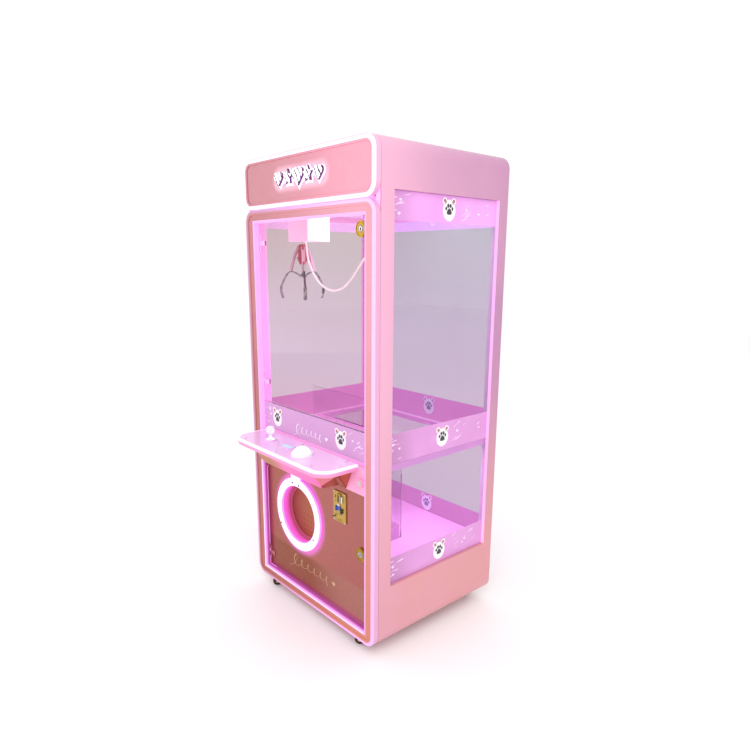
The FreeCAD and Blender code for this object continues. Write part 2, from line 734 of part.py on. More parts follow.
CAP_Z = 1518.0
BODY_FOOT_Z = 1434.0
PIVOT_R = 14.0
PIVOT_Z = 1388.0
ELBOW = (57.0, 1405.0)
FINGER = ((PIVOT_R, PIVOT_Z), (36.0, 1399.0), ELBOW, (74.0, 1394.0), (90.0, 1372.0),
          (104.0, 1342.0), (106.0, 1318.0), (97.0, 1288.0))
LINK = ((19.0, 1506.0), (34.0, 1482.0), (46.0, 1446.0), (57.0, 1405.0))
LINK_WEB = ((26.5, 1496.0), (37.5, 1480.0), (49.5, 1446.0))


def strip(path, t, half_w, u0=0.0):
    """A flat strip along a path of (radius, height) in the plane of azimuth 0."""
    left = []
    right = []
    last = len(path) - 1
    for i, (r, z) in enumerate(path):
        a = path[max(i - 1, 0)]
        b = path[min(i + 1, last)]
        length = math.hypot(b[0] - a[0], b[1] - a[1])
        nx = -(b[1] - a[1]) / length * t / 2
        nz = (b[0] - a[0]) / length * t / 2
        left.append((r + nx, z + nz))
        right.append((r - nx, z - nz))
    outline = left + right[::-1]
    solid = side_prism([(r, z) for r, z in outline], u0 - half_w, u0 + half_w)
    return turned(solid, V(0, 0, 0), Z, -90)


def at_claw(shape, azimuth):
    return moved(turned(shape, V(0, 0, 0), Z, azimuth), CLAW_X, CLAW_Y, 0)


def claw_housing():
    cap = cyl(16, V(0, 0, 1494), Z, CAP_Z - 1494)
    coil = cyl(20, V(0, 0, 1446), Z, 49)
    flange = cyl(25, V(0, 0, 1456), Z, 7)
    foot = cyl(15, V(0, 0, BODY_FOOT_Z), Z, 14)
    body = fuse(cap, coil, flange, foot)
    for azimuth in CLAW_ANGLES:
        lug = block(12, 22, -3.7, 3.7, 1500, 1512)
        lug = lug.cut(cyl(2.05, V(LINK[0][0], -5, LINK[0][1]), Y, 10))
        body = body.fuse(turned(lug, V(0, 0, 0), Z, azimuth))
    return moved(body.cut(cyl(5.1, V(0, 0, 1400), Z, 90)), CLAW_X, CLAW_Y, 0)


def claw_links():
    links = []
    for azimuth in CLAW_ANGLES:
        cheeks = [strip(LINK, 9, 1.2, s * 6.2) for s in (-1, 1)]
        web = strip(LINK_WEB, 2, 6.5)
        pin = cyl(2, V(LINK[0][0], -7.4, LINK[0][1]), Y, 14.8)
        links.append(at_claw(fuse(web, pin, *cheeks), azimuth))
    return links


def claw_plunger():
    rod = cyl(5, V(0, 0, PIVOT_Z + 6), Z, 60)
    hub = cyl(8, V(0, 0, PIVOT_Z - 8), Z, 16)
    body = fuse(rod, hub)
    for azimuth in CLAW_ANGLES:
        ears = [block(5, 18, s - 1, s + 1, PIVOT_Z - 6, PIVOT_Z + 5) for s in (-6.3, 6.3)]
        pin = cyl(2, V(PIVOT_R, -7, PIVOT_Z), Y, 14)
        for piece in ears + [pin]:
            body = body.fuse(turned(piece, V(0, 0, 0), Z, azimuth))
    return moved(body, CLAW_X, CLAW_Y, 0)


def claw_arm(azimuth):
    eye = cyl(4.2, V(PIVOT_R, -4.5, PIVOT_Z), Y, 9)
    bar = strip(FINGER, 5, 4.5)
    nail = strip(FINGER[-3:], 2.5, 7.5).translate(V(3.0, 0, 0))
    bore = cyl(2.05, V(PIVOT_R, -10, PIVOT_Z), Y, 20)
    return at_claw(fuse(eye, bar, nail).cut(bore), azimuth)


# The carriage's lead: from the carriage's underside down in a long loop and up to the
# front right post.
LEAD_R = 4.0
LEAD_PATH = ((-232, 179, 1529.5), (-230, 179, 1494), (-213, 176, 1450), (-180, 170, 1407),
             (-130, 161, 1368), (-62, 148, 1341), (16, 135, 1331), (90, 122, 1345),
             (150, 111, 1376), (199, 102, 1414), (245, 94, 1452), (296, 86, 1484),
             (340, 75, 1501), (374.9, 69.5, 1507))


def smooth_route(points):
    """Straight runs joined by tangent arcs, each as large as its two runs allow."""
    pts = [V(*p) for p in points]
    edges = []
    start = pts[0]
    radii = []
    for i in range(1, len(pts) - 1):
        before = pts[i - 1] - pts[i]
        after = pts[i + 1] - pts[i]
        shorter = min(before.Length, after.Length)
        a = V(before).normalize()
        b = V(after).normalize()
        turn = math.pi - a.getAngle(b)
        back = 0.45 * shorter
        radii.append(back / math.tan(turn / 2))
        p = pts[i] + a * back
        q = pts[i] + b * back
        bisector = (a + b).normalize()
        centre = pts[i] + bisector * (radii[-1] / math.cos(turn / 2))
        middle = centre - bisector * radii[-1]
        edges.append(Part.LineSegment(start, p).toShape())
        edges.append(Part.Arc(p, middle, q).toShape())
        start = q
    edges.append(Part.LineSegment(start, pts[-1]).toShape())
    return Part.Wire(edges), radii


def carriage_lead():
    route, radii = smooth_route(LEAD_PATH)
    first = V(*LEAD_PATH[0])
    along = (V(*LEAD_PATH[1]) - first).normalize()
    section = Part.Wire([Part.makeCircle(LEAD_R, first, along)])
    body = route.makePipeShell([section], True, False)
    full = math.pi * LEAD_R ** 2 * route.Length
    print("lead length %.1f, volume ratio %.4f, smallest radius %.1f"
          % (route.Length, body.Volume / full, min(radii)))
    return body


# ---- casters ------------------------------------------------------------------------
def caster_plates():
    shapes = []
    for x in (-CASTER_X, CASTER_X):
        for y in CASTER_Y:
            plate = rounded(x - 24, x + 24, y - 22, y + 22, -3, 0, 5, Z)
            kingpin = cyl(4, V(x, y, -9.5), Z, 7)
            race = cyl(13, V(x, y, -5), Z, 3)
            shapes.append(fuse(plate, kingpin, race))
    return shapes


AXLE_Z = -CASTER_H + WHEEL_R


def caster_fork(x, y, angle):
    crown = tube(15, 4.05, V(0, 0, -8.5), Z, 3)
    t = CASTER_TRAIL
    cheek = [(-10, -5.5), (10, -5.5), (t + 6, AXLE_Z + 5), (t + 6, AXLE_Z - 5),
             (t - 5, AXLE_Z - 6), (-10, -12)]
    cheeks = [prism([V(r, s, z) for r, z in cheek], V(0, 2, 0)) for s in (-11.3, 9.3)]
    axle = cyl(3, V(t, -12.3, AXLE_Z), Y, 24.6)
    fork = fuse(crown, axle, *cheeks)
    fork = fork.cut(cyl(4.05, V(0, 0, -20), Z, 16))
    return moved(turned(fork, V(0, 0, 0), Z, angle), x, y, 0)


def caster_wheel(x, y, angle):
    t = CASTER_TRAIL
    tyre = cyl(WHEEL_R, V(t, -8.8, AXLE_Z), Y, 17.6)
    tyre = tyre.makeFillet(3.5, [e for e in tyre.Edges if e.Length > 100
                                 and abs(abs(e.CenterOfMass.y) - 8.8) < 0.1])
    for s in (-1, 1):
        tyre = tyre.cut(tube(13, 7, V(t, s * 8.8 - 1.5, AXLE_Z), Y, 3))
    tyre = tyre.cut(cyl(3.05, V(t, -10, AXLE_Z), Y, 20))
    return moved(turned(tyre, V(0, 0, 0), Z, angle), x, y, 0)


CASTERS = (("front_left", -CASTER_X, CASTER_Y[0], 243.0),
           ("front_right", CASTER_X, CASTER_Y[0], 218.0),
           ("rear_left", -CASTER_X, CASTER_Y[1], 300.0),
           ("rear_right", CASTER_X, CASTER_Y[1], 337.0))


# ---- all the pieces -----------------------------------------------------------------
def main():
    os.makedirs("parts", exist_ok=True)
    side = right_side_panel()
    save("right_side_panel", side)
    save("left_side_panel", mirror_x(side))
    single = (roof_panel, back_panel, front_frame, marquee_panel,
              marquee_edge_light, glass_door, service_door, prize_ring_light,
              prize_tunnel, prize_flap, coin_plate, coin_reject_button,
              coin_return_flap, console_edge_light, console_box,
              console_lock_plug, joystick_gimbal, button_bezel, grab_button,
              playfield_deck, playfield_floor, cash_box, power_inlet, bridge,
              hoist_cable, claw_housing, claw_plunger, carriage_lead)
    for make in single:
        save(make.__name__, make())
    groups = (base_pan, console_top, cabinet_posts, window_glass, front_frame_lights,
              marquee_emblem, frame_hinges_and_keepers, glass_door_hardware, service_door_hardware,
              joystick_base, joystick_stick, prize_chute, chamber_floor,
              control_electronics, gantry_rails, carriage, claw_links)
    for make in groups:
        save(make.__name__, *make())
    save("glass_lock_plug", lock_plug(*GLASS_LOCK))
    save("service_lock_plug", lock_plug(*SERVICE_LOCK))
    for number, azimuth in enumerate(CLAW_ANGLES, 1):
        save("claw_arm_%d" % number, claw_arm(azimuth))
    for name, x, y, angle in CASTERS:
        save("caster_fork_" + name, caster_fork(x, y, angle))
        save("caster_wheel_" + name, caster_wheel(x, y, angle))


main()
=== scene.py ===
"""Looks of the claw crane machine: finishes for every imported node, the printed window
films, the hoist cable and the lead, the screws and the small trim.  Lengths are in metres
in the row frame; at(x, y, z) turns the cabinet's own millimetres into it.
"""
import json
import math
import random

import bmesh
import bpy
from mathutils import Matrix, Vector


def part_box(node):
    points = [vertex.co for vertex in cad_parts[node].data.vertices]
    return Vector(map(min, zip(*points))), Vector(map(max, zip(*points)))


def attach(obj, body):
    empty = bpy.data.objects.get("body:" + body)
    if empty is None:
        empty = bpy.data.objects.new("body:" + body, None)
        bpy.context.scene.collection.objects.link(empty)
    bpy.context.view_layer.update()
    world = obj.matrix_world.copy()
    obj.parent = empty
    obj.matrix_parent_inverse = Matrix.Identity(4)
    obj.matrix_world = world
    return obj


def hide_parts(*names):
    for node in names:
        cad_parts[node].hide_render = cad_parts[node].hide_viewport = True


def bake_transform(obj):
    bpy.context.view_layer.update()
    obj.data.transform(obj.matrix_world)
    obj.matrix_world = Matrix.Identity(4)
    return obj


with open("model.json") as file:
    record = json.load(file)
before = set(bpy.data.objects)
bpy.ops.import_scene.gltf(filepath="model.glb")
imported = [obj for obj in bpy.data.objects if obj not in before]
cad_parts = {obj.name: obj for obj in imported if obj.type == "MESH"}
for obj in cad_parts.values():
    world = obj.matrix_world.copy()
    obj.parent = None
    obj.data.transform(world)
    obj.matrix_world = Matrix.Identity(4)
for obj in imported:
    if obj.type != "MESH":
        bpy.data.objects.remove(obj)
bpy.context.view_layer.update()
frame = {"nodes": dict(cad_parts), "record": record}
nodes = frame["nodes"]
scene = bpy.context.scene

MM = 0.001
FRONT_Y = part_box("front_frame_lights")[0].y      # face of the lit front edge
UNDERSIDE_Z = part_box("left_side_panel")[0].z     # underside of the cabinet


def at(x, y, z):
    """A point given in cabinet millimetres: y behind the front edge, z above the underside."""
    return Vector((x * MM, FRONT_Y + y * MM, UNDERSIDE_Z + z * MM))


def y_at(y):
    return at(0, y, 0).y


def z_at(z):
    return at(0, 0, z).z


# Faces and heights that the looks share, in cabinet millimetres.
SHELF_TOP = 720
DISPLAY_TOP = 723.1           # top of the raised frame round the small display
COIN_FACE = 22                # face of the coin plate
LOCK_FACE = 21                # outer end of both door locks
KEYHOLE_FACE = 19.9
HEADER_TOP = 1827.7           # top of the header's face inside its lit edge
BAND_TOP = 1629.7             # top of the flat band inside the outer lit edge

# The front's tones change between these two heights, in metres.
SHELF_LINE = (z_at(640), z_at(720))


# ---- camera ----
CAMERA_PLACE = (1953.6, -1338.4, 1445.4)         # in cabinet millimetres
CAMERA_TURN = (48.51, 12.66, 0.37)               # yaw, pitch and roll in degrees
LENS_MM = 29.0
LENS_SHIFT = (-0.0053, 0.0306)


def make_camera():
    yaw, pitch, roll = (math.radians(turn) for turn in CAMERA_TURN)
    ahead = Vector((-math.sin(yaw) * math.cos(pitch),
                    math.cos(yaw) * math.cos(pitch), -math.sin(pitch)))
    right = Vector((math.cos(yaw), math.sin(yaw), 0))
    up = right.cross(ahead)
    across = right * math.cos(roll) + up * math.sin(roll)
    upward = up * math.cos(roll) - right * math.sin(roll)
    data = bpy.data.cameras.new("camera")
    data.lens = LENS_MM
    data.sensor_width = 36.0
    data.shift_x, data.shift_y = LENS_SHIFT
    data.clip_end = 100.0
    camera = bpy.data.objects.new("camera", data)
    scene.collection.objects.link(camera)
    turn = Matrix((across, upward, -ahead)).transposed().to_4x4()
    camera.matrix_world = Matrix.Translation(at(*CAMERA_PLACE)) @ turn
    scene.camera = camera


# ---- node materials ----
BLACK = (0.0, 0.0, 0.0)
ZONE_BLUR = 0.0008            # softness of the painted zones' edges


class Finish:
    """A Principled material, with short calls for the nodes that feed it."""

    def __init__(self, name, colour, roughness, metallic=0.0, **sockets):
        self.material = bpy.data.materials.new(name)
        self.material.use_nodes = True
        tree = self.material.node_tree
        self.nodes, self.links = tree.nodes, tree.links
        self.shader = self.nodes["Principled BSDF"]
        self.set("Base Color", (*colour, 1))
        self.set("Roughness", roughness)
        self.set("Metallic", metallic)
        for key, value in sockets.items():
            self.set(key.replace("_", " "), value)
        coords = self.nodes.new("ShaderNodeTexCoord")
        self.place = coords.outputs["Object"]
        self.normal = coords.outputs["Normal"]

    def set(self, socket, value):
        self.shader.inputs[socket].default_value = value

    def join(self, output, node, key):
        self.links.new(output, node.inputs[key])

    def feed(self, socket, output):
        self.links.new(output, self.shader.inputs[socket])

    def paint(self, output):
        self.feed("Base Color", output)

    def light(self, output):
        self.set("Emission Strength", 1.0)
        self.feed("Emission Color", output)

    def noise(self, scale, detail=3.0, stretch=(1, 1, 1)):
        mapping = self.nodes.new("ShaderNodeMapping")
        mapping.inputs["Scale"].default_value = stretch
        self.join(self.place, mapping, "Vector")
        node = self.nodes.new("ShaderNodeTexNoise")
        node.inputs["Scale"].default_value = scale
        node.inputs["Detail"].default_value = detail
        self.join(mapping.outputs["Vector"], node, "Vector")
        return node.outputs["Fac"]

    def split(self, vector):
        node = self.nodes.new("ShaderNodeSeparateXYZ")
        self.join(vector, node, "Vector")
        return node.outputs

    def along(self, axis):
        return self.split(self.place)[axis]

    def facing(self, axis):
        return self.split(self.normal)[axis]

    def remap(self, value, low, high, out_low=0.0, out_high=1.0, smooth=True):
        node = self.nodes.new("ShaderNodeMapRange")
        node.interpolation_type = "SMOOTHSTEP" if smooth else "LINEAR"
        self.join(value, node, "Value")
        for key, number in (("From Min", low), ("From Max", high),
                            ("To Min", out_low), ("To Max", out_high)):
            node.inputs[key].default_value = number
        return node.outputs["Result"]

    def slope(self, axis, low, high, *ends, **kind):
        """Rises from 0 to 1, or between two given ends, along x, y or z."""
        return self.remap(self.along(axis), low, high, *ends, **kind)

    def fade(self, value, low, high, top=1.0):
        """Falls smoothly from top to 0 between two values."""
        return self.remap(value, low, high, top, 0.0)

    def ramp(self, value, *stops):
        node = self.nodes.new("ShaderNodeValToRGB")
        marks = node.color_ramp.elements
        while len(marks) < len(stops):
            marks.new(0.5)
        for mark, (place, colour) in zip(marks, stops):
            mark.position = place
            mark.color = (*colour, 1)
        self.join(value, node, "Fac")
        return node.outputs["Color"]

    def mix(self, share, first, second):
        node = self.nodes.new("ShaderNodeMix")
        node.data_type = "RGBA"
        self.join(share, node, 0)
        for key, item in ((6, first), (7, second)):
            if isinstance(item, tuple):
                node.inputs[key].default_value = (*item, 1)
            else:
                self.join(item, node, key)
        return node.outputs[2]

    def maths(self, operation, first, second):
        node = self.nodes.new("ShaderNodeMath")
        node.operation = operation
        for key, item in ((0, first), (1, second)):
            if isinstance(item, (int, float)):
                node.inputs[key].default_value = item
            else:
                self.join(item, node, key)
        return node.outputs[0]

    def times(self, first, second):
        return self.maths("MULTIPLY", first, second)

    def plus(self, first, second):
        return self.maths("ADD", first, second)

    def less(self, first, second):
        return self.maths("SUBTRACT", first, second)

    def most(self, first, second):
        return self.maths("MAXIMUM", first, second)

    def size(self, value):
        return self.maths("ABSOLUTE", value, 0.0)

    def reach(self, first, second):
        """The length of a step with these two parts."""
        squares = [self.maths("POWER", self.size(part), 2.0) for part in (first, second)]
        return self.maths("SQRT", self.plus(*squares), 0.0)

    def frontal(self):
        """1 on the faces that look forwards."""
        return self.fade(self.facing("Y"), -0.8, -0.3)

    def lamps(self, strength=1.0):
        """The slow change of brightness along a lit strip."""
        return self.remap(self.noise(60.0, 1.0), 0.3, 0.7, 0.0, strength)

    def radius(self, x, z):
        """Distance from a line that runs from front to back through (x, z)."""
        return self.reach(self.less(self.along("X"), x), self.less(self.along("Z"), z))

    def outward(self, middle_z):
        """1 on the faces that point away from the middle of a ring round the front."""
        spot, aim = self.split(self.place), self.split(self.normal)
        across = self.times(spot["X"], aim["X"])
        rise = self.times(self.less(spot["Z"], middle_z), aim["Z"])
        return self.remap(self.plus(across, rise), 0.010, 0.045)

    def inside(self, x0, x1, z0, z1, corner):
        """1 within an upright rounded rectangle."""
        steps = []
        for axis, low, high in (("X", x0, x1), ("Z", z0, z1)):
            away = self.size(self.less(self.along(axis), (low + high) / 2))
            steps.append(self.most(self.less(away, (high - low) / 2 - corner), 0.0))
        return self.fade(self.reach(*steps), corner - ZONE_BLUR, corner + ZONE_BLUR)

    def clouded(self, body, tint, share, scale, detail=3.0):
        """The body's colour with soft clouds of another tint."""
        cloud = self.remap(self.noise(scale, detail), 0.35, 0.7, 0.0, share)
        return self.mix(cloud, body, tint)

    def bump(self, height, strength, distance):
        node = self.nodes.new("ShaderNodeBump")
        node.inputs["Strength"].default_value = strength
        node.inputs["Distance"].default_value = distance
        self.join(height, node, "Height")
        self.feed("Normal", node.outputs["Normal"])

    def vary_roughness(self, scale, low, high):
        self.feed("Roughness", self.remap(self.noise(scale), 0.3, 0.7, low, high))

    def orange_peel(self):
        self.bump(self.noise(900.0, 2.0), 0.06, 0.0004)


def shade(colour, amount):
    return tuple(min(1.0, c * amount) for c in colour)


PINK = (0.80, 0.40, 0.54)
DOOR_SEAM_X = 0.093           # a faint upright line down the lower door's face


def pink_powder_coat():
    """Shell paint, with painted light: lighter towards the lit front and darker towards the
    rear, warmer and even towards the floor.
    Faces towards the cabinet's inside and the windows' rear reveals get a painted violet glow."""
    finish = Finish("pink_powder_coat", PINK, 0.36, Coat_Weight=0.12, Coat_Roughness=0.25)
    # Painted light: lighter at the front, darker towards the rear, warmer towards the floor.
    depth = finish.slope("Y", FRONT_Y + 0.02, FRONT_Y + 0.69, smooth=False)
    upper = finish.ramp(depth, (0.0, (0.79, 0.40, 0.56)), (0.40, (0.61, 0.30, 0.46)),
                        (1.0, (0.47, 0.215, 0.385)))
    lower = finish.ramp(depth, (0.0, (0.68, 0.30, 0.36)), (0.30, (0.70, 0.30, 0.31)),
                        (1.0, (0.68, 0.29, 0.31)))
    body = finish.mix(finish.slope("Z", 0.15, 1.25), lower, upper)
    body = finish.clouded(body, (0.72, 0.35, 0.48), 0.25, 4.0, 4.0)
    seam = finish.fade(finish.along("Y"), FRONT_Y + 0.0212, FRONT_Y + 0.0240, 0.55)
    finish.paint(finish.mix(seam, body, (0.40, 0.12, 0.22)))
    # Painted violet glow on faces towards the cabinet's inside and on the windows' rear reveals.
    aim = finish.split(finish.normal)
    inward = finish.fade(finish.times(finish.along("X"), aim["X"]), -0.35, -0.15, 0.45)
    edge = finish.less(finish.along("Y"), y_at(WINDOW_ENDS[1]))
    beside = finish.fade(finish.size(edge), 0.001, 0.002, 0.75)
    reveal = finish.times(beside, finish.fade(aim["Y"], -0.9, -0.7))
    finish.light(finish.mix(finish.most(inward, reveal), BLACK, (1.0, 0.45, 0.90)))
    finish.vary_roughness(60.0, 0.30, 0.44)
    finish.orange_peel()
    return finish


def coat(name, high, low, roughness=0.36):
    """Plain powder coat with a slow change of tone up its height."""
    finish = Finish(name, high, roughness, Coat_Weight=0.12, Coat_Roughness=0.25)
    body = finish.mix(finish.slope("Z", 0.05, 1.1), low, high)
    finish.paint(finish.clouded(body, shade(high, 0.93), 0.35, 4.0, 4.0))
    finish.vary_roughness(60.0, roughness - 0.06, roughness + 0.08)
    finish.orange_peel()
    return finish


def band_tint(finish):
    """Painted light: lighter and pinker at the lock side, darker at the hinge side, darker and
    browner towards the floor.
    """
    across = finish.slope("X", -0.40, 0.38)
    upper = finish.mix(across, (0.44, 0.12, 0.14), (0.70, 0.28, 0.36))
    lower = finish.mix(across, (0.40, 0.10, 0.075), (0.62, 0.20, 0.14))
    return finish.mix(finish.slope("Z", 0.10, 1.30), lower, upper)


def header_tint(finish):
    # Painted light: darker at the hinge side, lighter towards the lock side.
    across = finish.slope("X", -0.40, 0.40)
    return finish.ramp(across, (0.0, (0.46, 0.14, 0.18)), (0.55, (0.60, 0.20, 0.27)),
                       (1.0, (0.76, 0.28, 0.385)))


def light_lip(finish, height, tint):
    """A faint painted glow along the top of a face, just under the lit edge's lip, that lightens
    the shade there.
    """
    top = z_at(height)
    lip = finish.slope("Z", top - 0.005, top - 0.001, 0.0, 0.25)
    finish.light(finish.mix(lip, BLACK, tint))


def rose_band():
    """The flat band round the front, in band_tint's painted light, with a faint painted glow
    under the lit edge's lip.
    """
    finish = Finish("rose_band", (0.7, 0.3, 0.35), 0.34, Coat_Weight=0.15)
    tint = band_tint(finish)
    finish.paint(tint)
    light_lip(finish, BAND_TOP, tint)
    finish.vary_roughness(60.0, 0.28, 0.42)
    finish.orange_peel()
    return finish


def rose_satin():
    """The header's face: paler pink round the emblem, as painted light from the halo behind it,
    and a faint painted glow under the edge above.
    """
    finish = Finish("rose_satin", (0.75, 0.28, 0.36), 0.30, Coat_Weight=0.2)
    face = header_tint(finish)
    low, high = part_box("marquee_emblem")
    middle = (low + high) / 2
    half = (high.x - low.x) / 2 - 0.02
    beside = finish.size(finish.less(finish.along("X"), middle.x))
    beyond = finish.most(finish.less(beside, half), 0.0)
    reach = finish.reach(beyond, finish.less(finish.along("Z"), middle.z))
    # Painted light round the emblem, from the halo behind it.
    painted_light = finish.fade(reach, 0.028, 0.056, 0.70)
    finish.paint(finish.mix(painted_light, face, (0.98, 0.55, 0.72)))
    light_lip(finish, HEADER_TOP, face)
    finish.vary_roughness(25.0, 0.26, 0.36)
    finish.bump(finish.noise(700.0, 2.0), 0.04, 0.0003)
    return finish


def rose_mirror_acrylic():
    """Rose gold mirror sheet in painted light, darker at the hinge side and darker and browner
    low down, with a painted violet glow round the ring and from the lit strips.
    """
    finish = Finish("rose_mirror_acrylic", (0.4, 0.15, 0.12), 0.24, 0.8)
    # Painted light: darker at the hinge side; below about 0.25 m, darker and browner.
    across = finish.slope("X", -0.36, 0.26)
    tint = finish.ramp(across, (0.0, (0.36, 0.10, 0.07)), (0.55, (0.42, 0.125, 0.105)),
                       (1.0, (0.40, 0.125, 0.11)))
    lower_shade = finish.ramp(across, (0.0, (0.27, 0.070, 0.034)), (0.55, (0.275, 0.070, 0.034)),
                        (1.0, (0.40, 0.165, 0.13)))
    body = finish.mix(finish.slope("Z", 0.235, 0.262), lower_shade, tint)
    beside = finish.size(finish.less(finish.along("X"), DOOR_SEAM_X))
    seam = finish.fade(beside, 0.0008, 0.0030, 0.30)
    finish.paint(finish.mix(seam, body, (0.34, 0.11, 0.11)))
    # Painted violet glow round the ring and along the door's left edge and foot, next to the lit
    # strips.
    low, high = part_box("prize_ring_light")
    ring = (high.x - low.x) / 2
    away = finish.radius(low.x + ring, low.z + ring)
    halo = finish.fade(away, ring - 0.002, ring + 0.036, 0.66)
    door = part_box("service_door")[0]
    left = finish.fade(finish.along("X"), door.x, door.x + 0.010, 0.25)
    foot = finish.fade(finish.along("Z"), door.z, door.z + 0.014, 0.30)
    painted_light = finish.most(halo, finish.most(left, foot))
    painted_light = finish.times(painted_light, finish.frontal())
    finish.light(finish.mix(painted_light, BLACK, (0.80, 0.14, 0.95)))
    finish.vary_roughness(12.0, 0.20, 0.30)
    finish.bump(finish.noise(9.0, 1.0), 0.03, 0.001)
    return finish


def edge_light_violet():
    """The outer edge is dim at the hinge side.  The inner strip has a near white front
    edge; inside, it is violet, with painted shade that darkens it with depth beside the lower
    door."""
    finish = Finish("edge_light_violet", (0.38, 0.22, 0.36), 0.35)
    low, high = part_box("front_frame_lights")
    rim = finish.outward((low.z + high.z) / 2)
    across = finish.slope("X", -0.36, 0.36)
    height = finish.slope("Z", 0.30, 1.00)
    edge = finish.mix(height, finish.mix(across, (0.34, 0.09, 0.22), (0.85, 0.30, 0.80)),
                      finish.mix(across, (0.16, 0.03, 0.08), (1.0, 0.38, 1.0)))
    front = finish.frontal()
    depth = finish.slope("Y", FRONT_Y + 0.004, FRONT_Y + 0.020)
    dusk = finish.fade(finish.along("Z"), *SHELF_LINE)
    deep = finish.times(depth, dusk)
    reveal = finish.mix(deep, (0.90, 0.32, 0.95), (0.28, 0.03, 0.20))
    lip = finish.mix(dusk, (0.55, 0.24, 0.60), (0.95, 0.58, 0.95))
    lip = finish.mix(finish.slope("X", 0.352, 0.360), lip, (0.50, 0.20, 0.45))
    strip = finish.mix(front, reveal, lip)
    inner = finish.slope("Y", FRONT_Y + 0.0008, FRONT_Y + 0.0016)
    shine = finish.mix(inner, edge, strip)
    lamps = finish.lamps(0.08)
    shine = finish.mix(lamps, shine, BLACK)
    # Painted glow on the top faces near the ring's top.
    top = finish.times(finish.remap(finish.facing("Z"), 0.90, 0.97),
                       finish.slope("Z", high.z - 0.012, high.z - 0.002))
    outside = finish.mix(top, BLACK, (0.60, 0.25, 0.65))
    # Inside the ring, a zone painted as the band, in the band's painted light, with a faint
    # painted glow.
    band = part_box("front_frame")[1].x - 0.025
    opening = finish.inside(-band, band, low.z + 0.030, high.z - 0.030, 0.003)
    painted = finish.less(finish.inside(
        low.x + 0.011, high.x - 0.0195, low.z + 0.009, high.z - 0.010, 0.036), opening)
    glow = finish.mix(painted, finish.mix(rim, shine, outside), (0.06, 0.022, 0.025))
    finish.light(glow)
    body = finish.mix(deep, (0.38, 0.22, 0.36), (0.24, 0.06, 0.18))
    body = finish.mix(rim, body, (0.74, 0.37, 0.58))
    finish.paint(finish.mix(painted, body, band_tint(finish)))
    return finish


def edge_light_white():
    """White diffuser round the header: a pink outline outside it, the face's rose inside in
    painted light with a faint painted glow, and pink outward faces with a painted glow on the
    bottom ones."""
    finish = Finish("edge_light_white", (0.5, 0.42, 0.5), 0.35)
    low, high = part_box("marquee_edge_light")
    rim = finish.outward((low.z + high.z) / 2)
    lamps = finish.lamps()
    shine = finish.mix(lamps, (1.0, 0.66, 1.0), (1.0, 0.74, 1.0))
    # Painted glow on the bottom faces near the foot.
    foot = finish.times(finish.fade(finish.facing("Z"), -0.97, -0.90),
                        finish.fade(finish.along("Z"), low.z + 0.002, low.z + 0.012))
    outside = finish.mix(foot, BLACK, (0.60, 0.25, 0.65))
    within = finish.inside(low.x + 0.004, high.x + 0.010, low.z - 0.010, high.z - 0.003, 0.047)
    face = finish.frontal()
    outline = finish.times(finish.less(1.0, within), face)
    # Inside the edge, a zone painted as the header's face, in its painted light, with a faint
    # painted glow.
    painted = finish.inside(low.x + 0.009, high.x - 0.0215, low.z + 0.014, high.z - 0.014,
                            0.034)
    glow = finish.mix(rim, shine, outside)
    glow = finish.mix(outline, glow, (0.16, 0.05, 0.08))
    finish.light(finish.mix(painted, glow, (0.09, 0.04, 0.05)))
    body = finish.mix(rim, (0.5, 0.42, 0.5), (0.84, 0.42, 0.60))
    body = finish.mix(outline, body, (0.80, 0.46, 0.56))
    finish.paint(finish.mix(painted, body, header_tint(finish)))
    return finish


def ring_light():
    """The prize ring: a white face with violet inner and outer walls."""
    finish = Finish("ring_light", (0.5, 0.42, 0.5), 0.35)
    face = finish.remap(finish.facing("Y"), -0.8, -0.3)
    lamps = finish.lamps()
    shine = finish.mix(lamps, (1.0, 0.62, 1.0), (1.0, 0.72, 1.0))
    finish.light(finish.mix(face, shine, (0.70, 0.14, 0.78)))
    return finish.material


def shelf_light():
    """The console's lit edge: white over its top 9 mm, pink below."""
    finish = Finish("shelf_light", (0.5, 0.4, 0.5), 0.35)
    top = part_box("console_edge_light")[1].z
    upper = finish.slope("Z", top - 0.0105, top - 0.0080)
    lamps = finish.lamps()
    shine = finish.mix(lamps, (1.0, 0.56, 1.0), (1.0, 0.66, 1.0))
    finish.light(finish.mix(upper, (0.30, 0.05, 0.16), shine))
    finish.paint(finish.mix(upper, (0.72, 0.27, 0.48), (0.5, 0.4, 0.5)))
    return finish.material


def mirror_silver():
    """Dark chrome faces crossed by bright slanted streaks that are painted reflections, and glow
    faintly.
    """
    finish = Finish("mirror_silver", (0.4, 0.4, 0.45), 0.10, 0.9)
    slant = finish.times(finish.along("X"), 260.0)
    slant = finish.plus(slant, finish.times(finish.along("Z"), 150.0))
    slant = finish.plus(slant, finish.times(finish.noise(30.0, 1.0), 5.0))
    reflection_streak = finish.remap(finish.maths("SINE", slant, 0.0), -0.75, -0.45)
    front = finish.frontal()
    face = finish.mix(reflection_streak, (0.045, 0.04, 0.07), (0.90, 0.88, 0.94))
    finish.paint(finish.mix(front, (0.14, 0.05, 0.16), face))
    # The painted reflections also glow.
    glow = finish.times(front, reflection_streak)
    finish.light(finish.mix(glow, BLACK, (0.45, 0.42, 0.48)))
    finish.vary_roughness(40.0, 0.06, 0.16)
    return finish


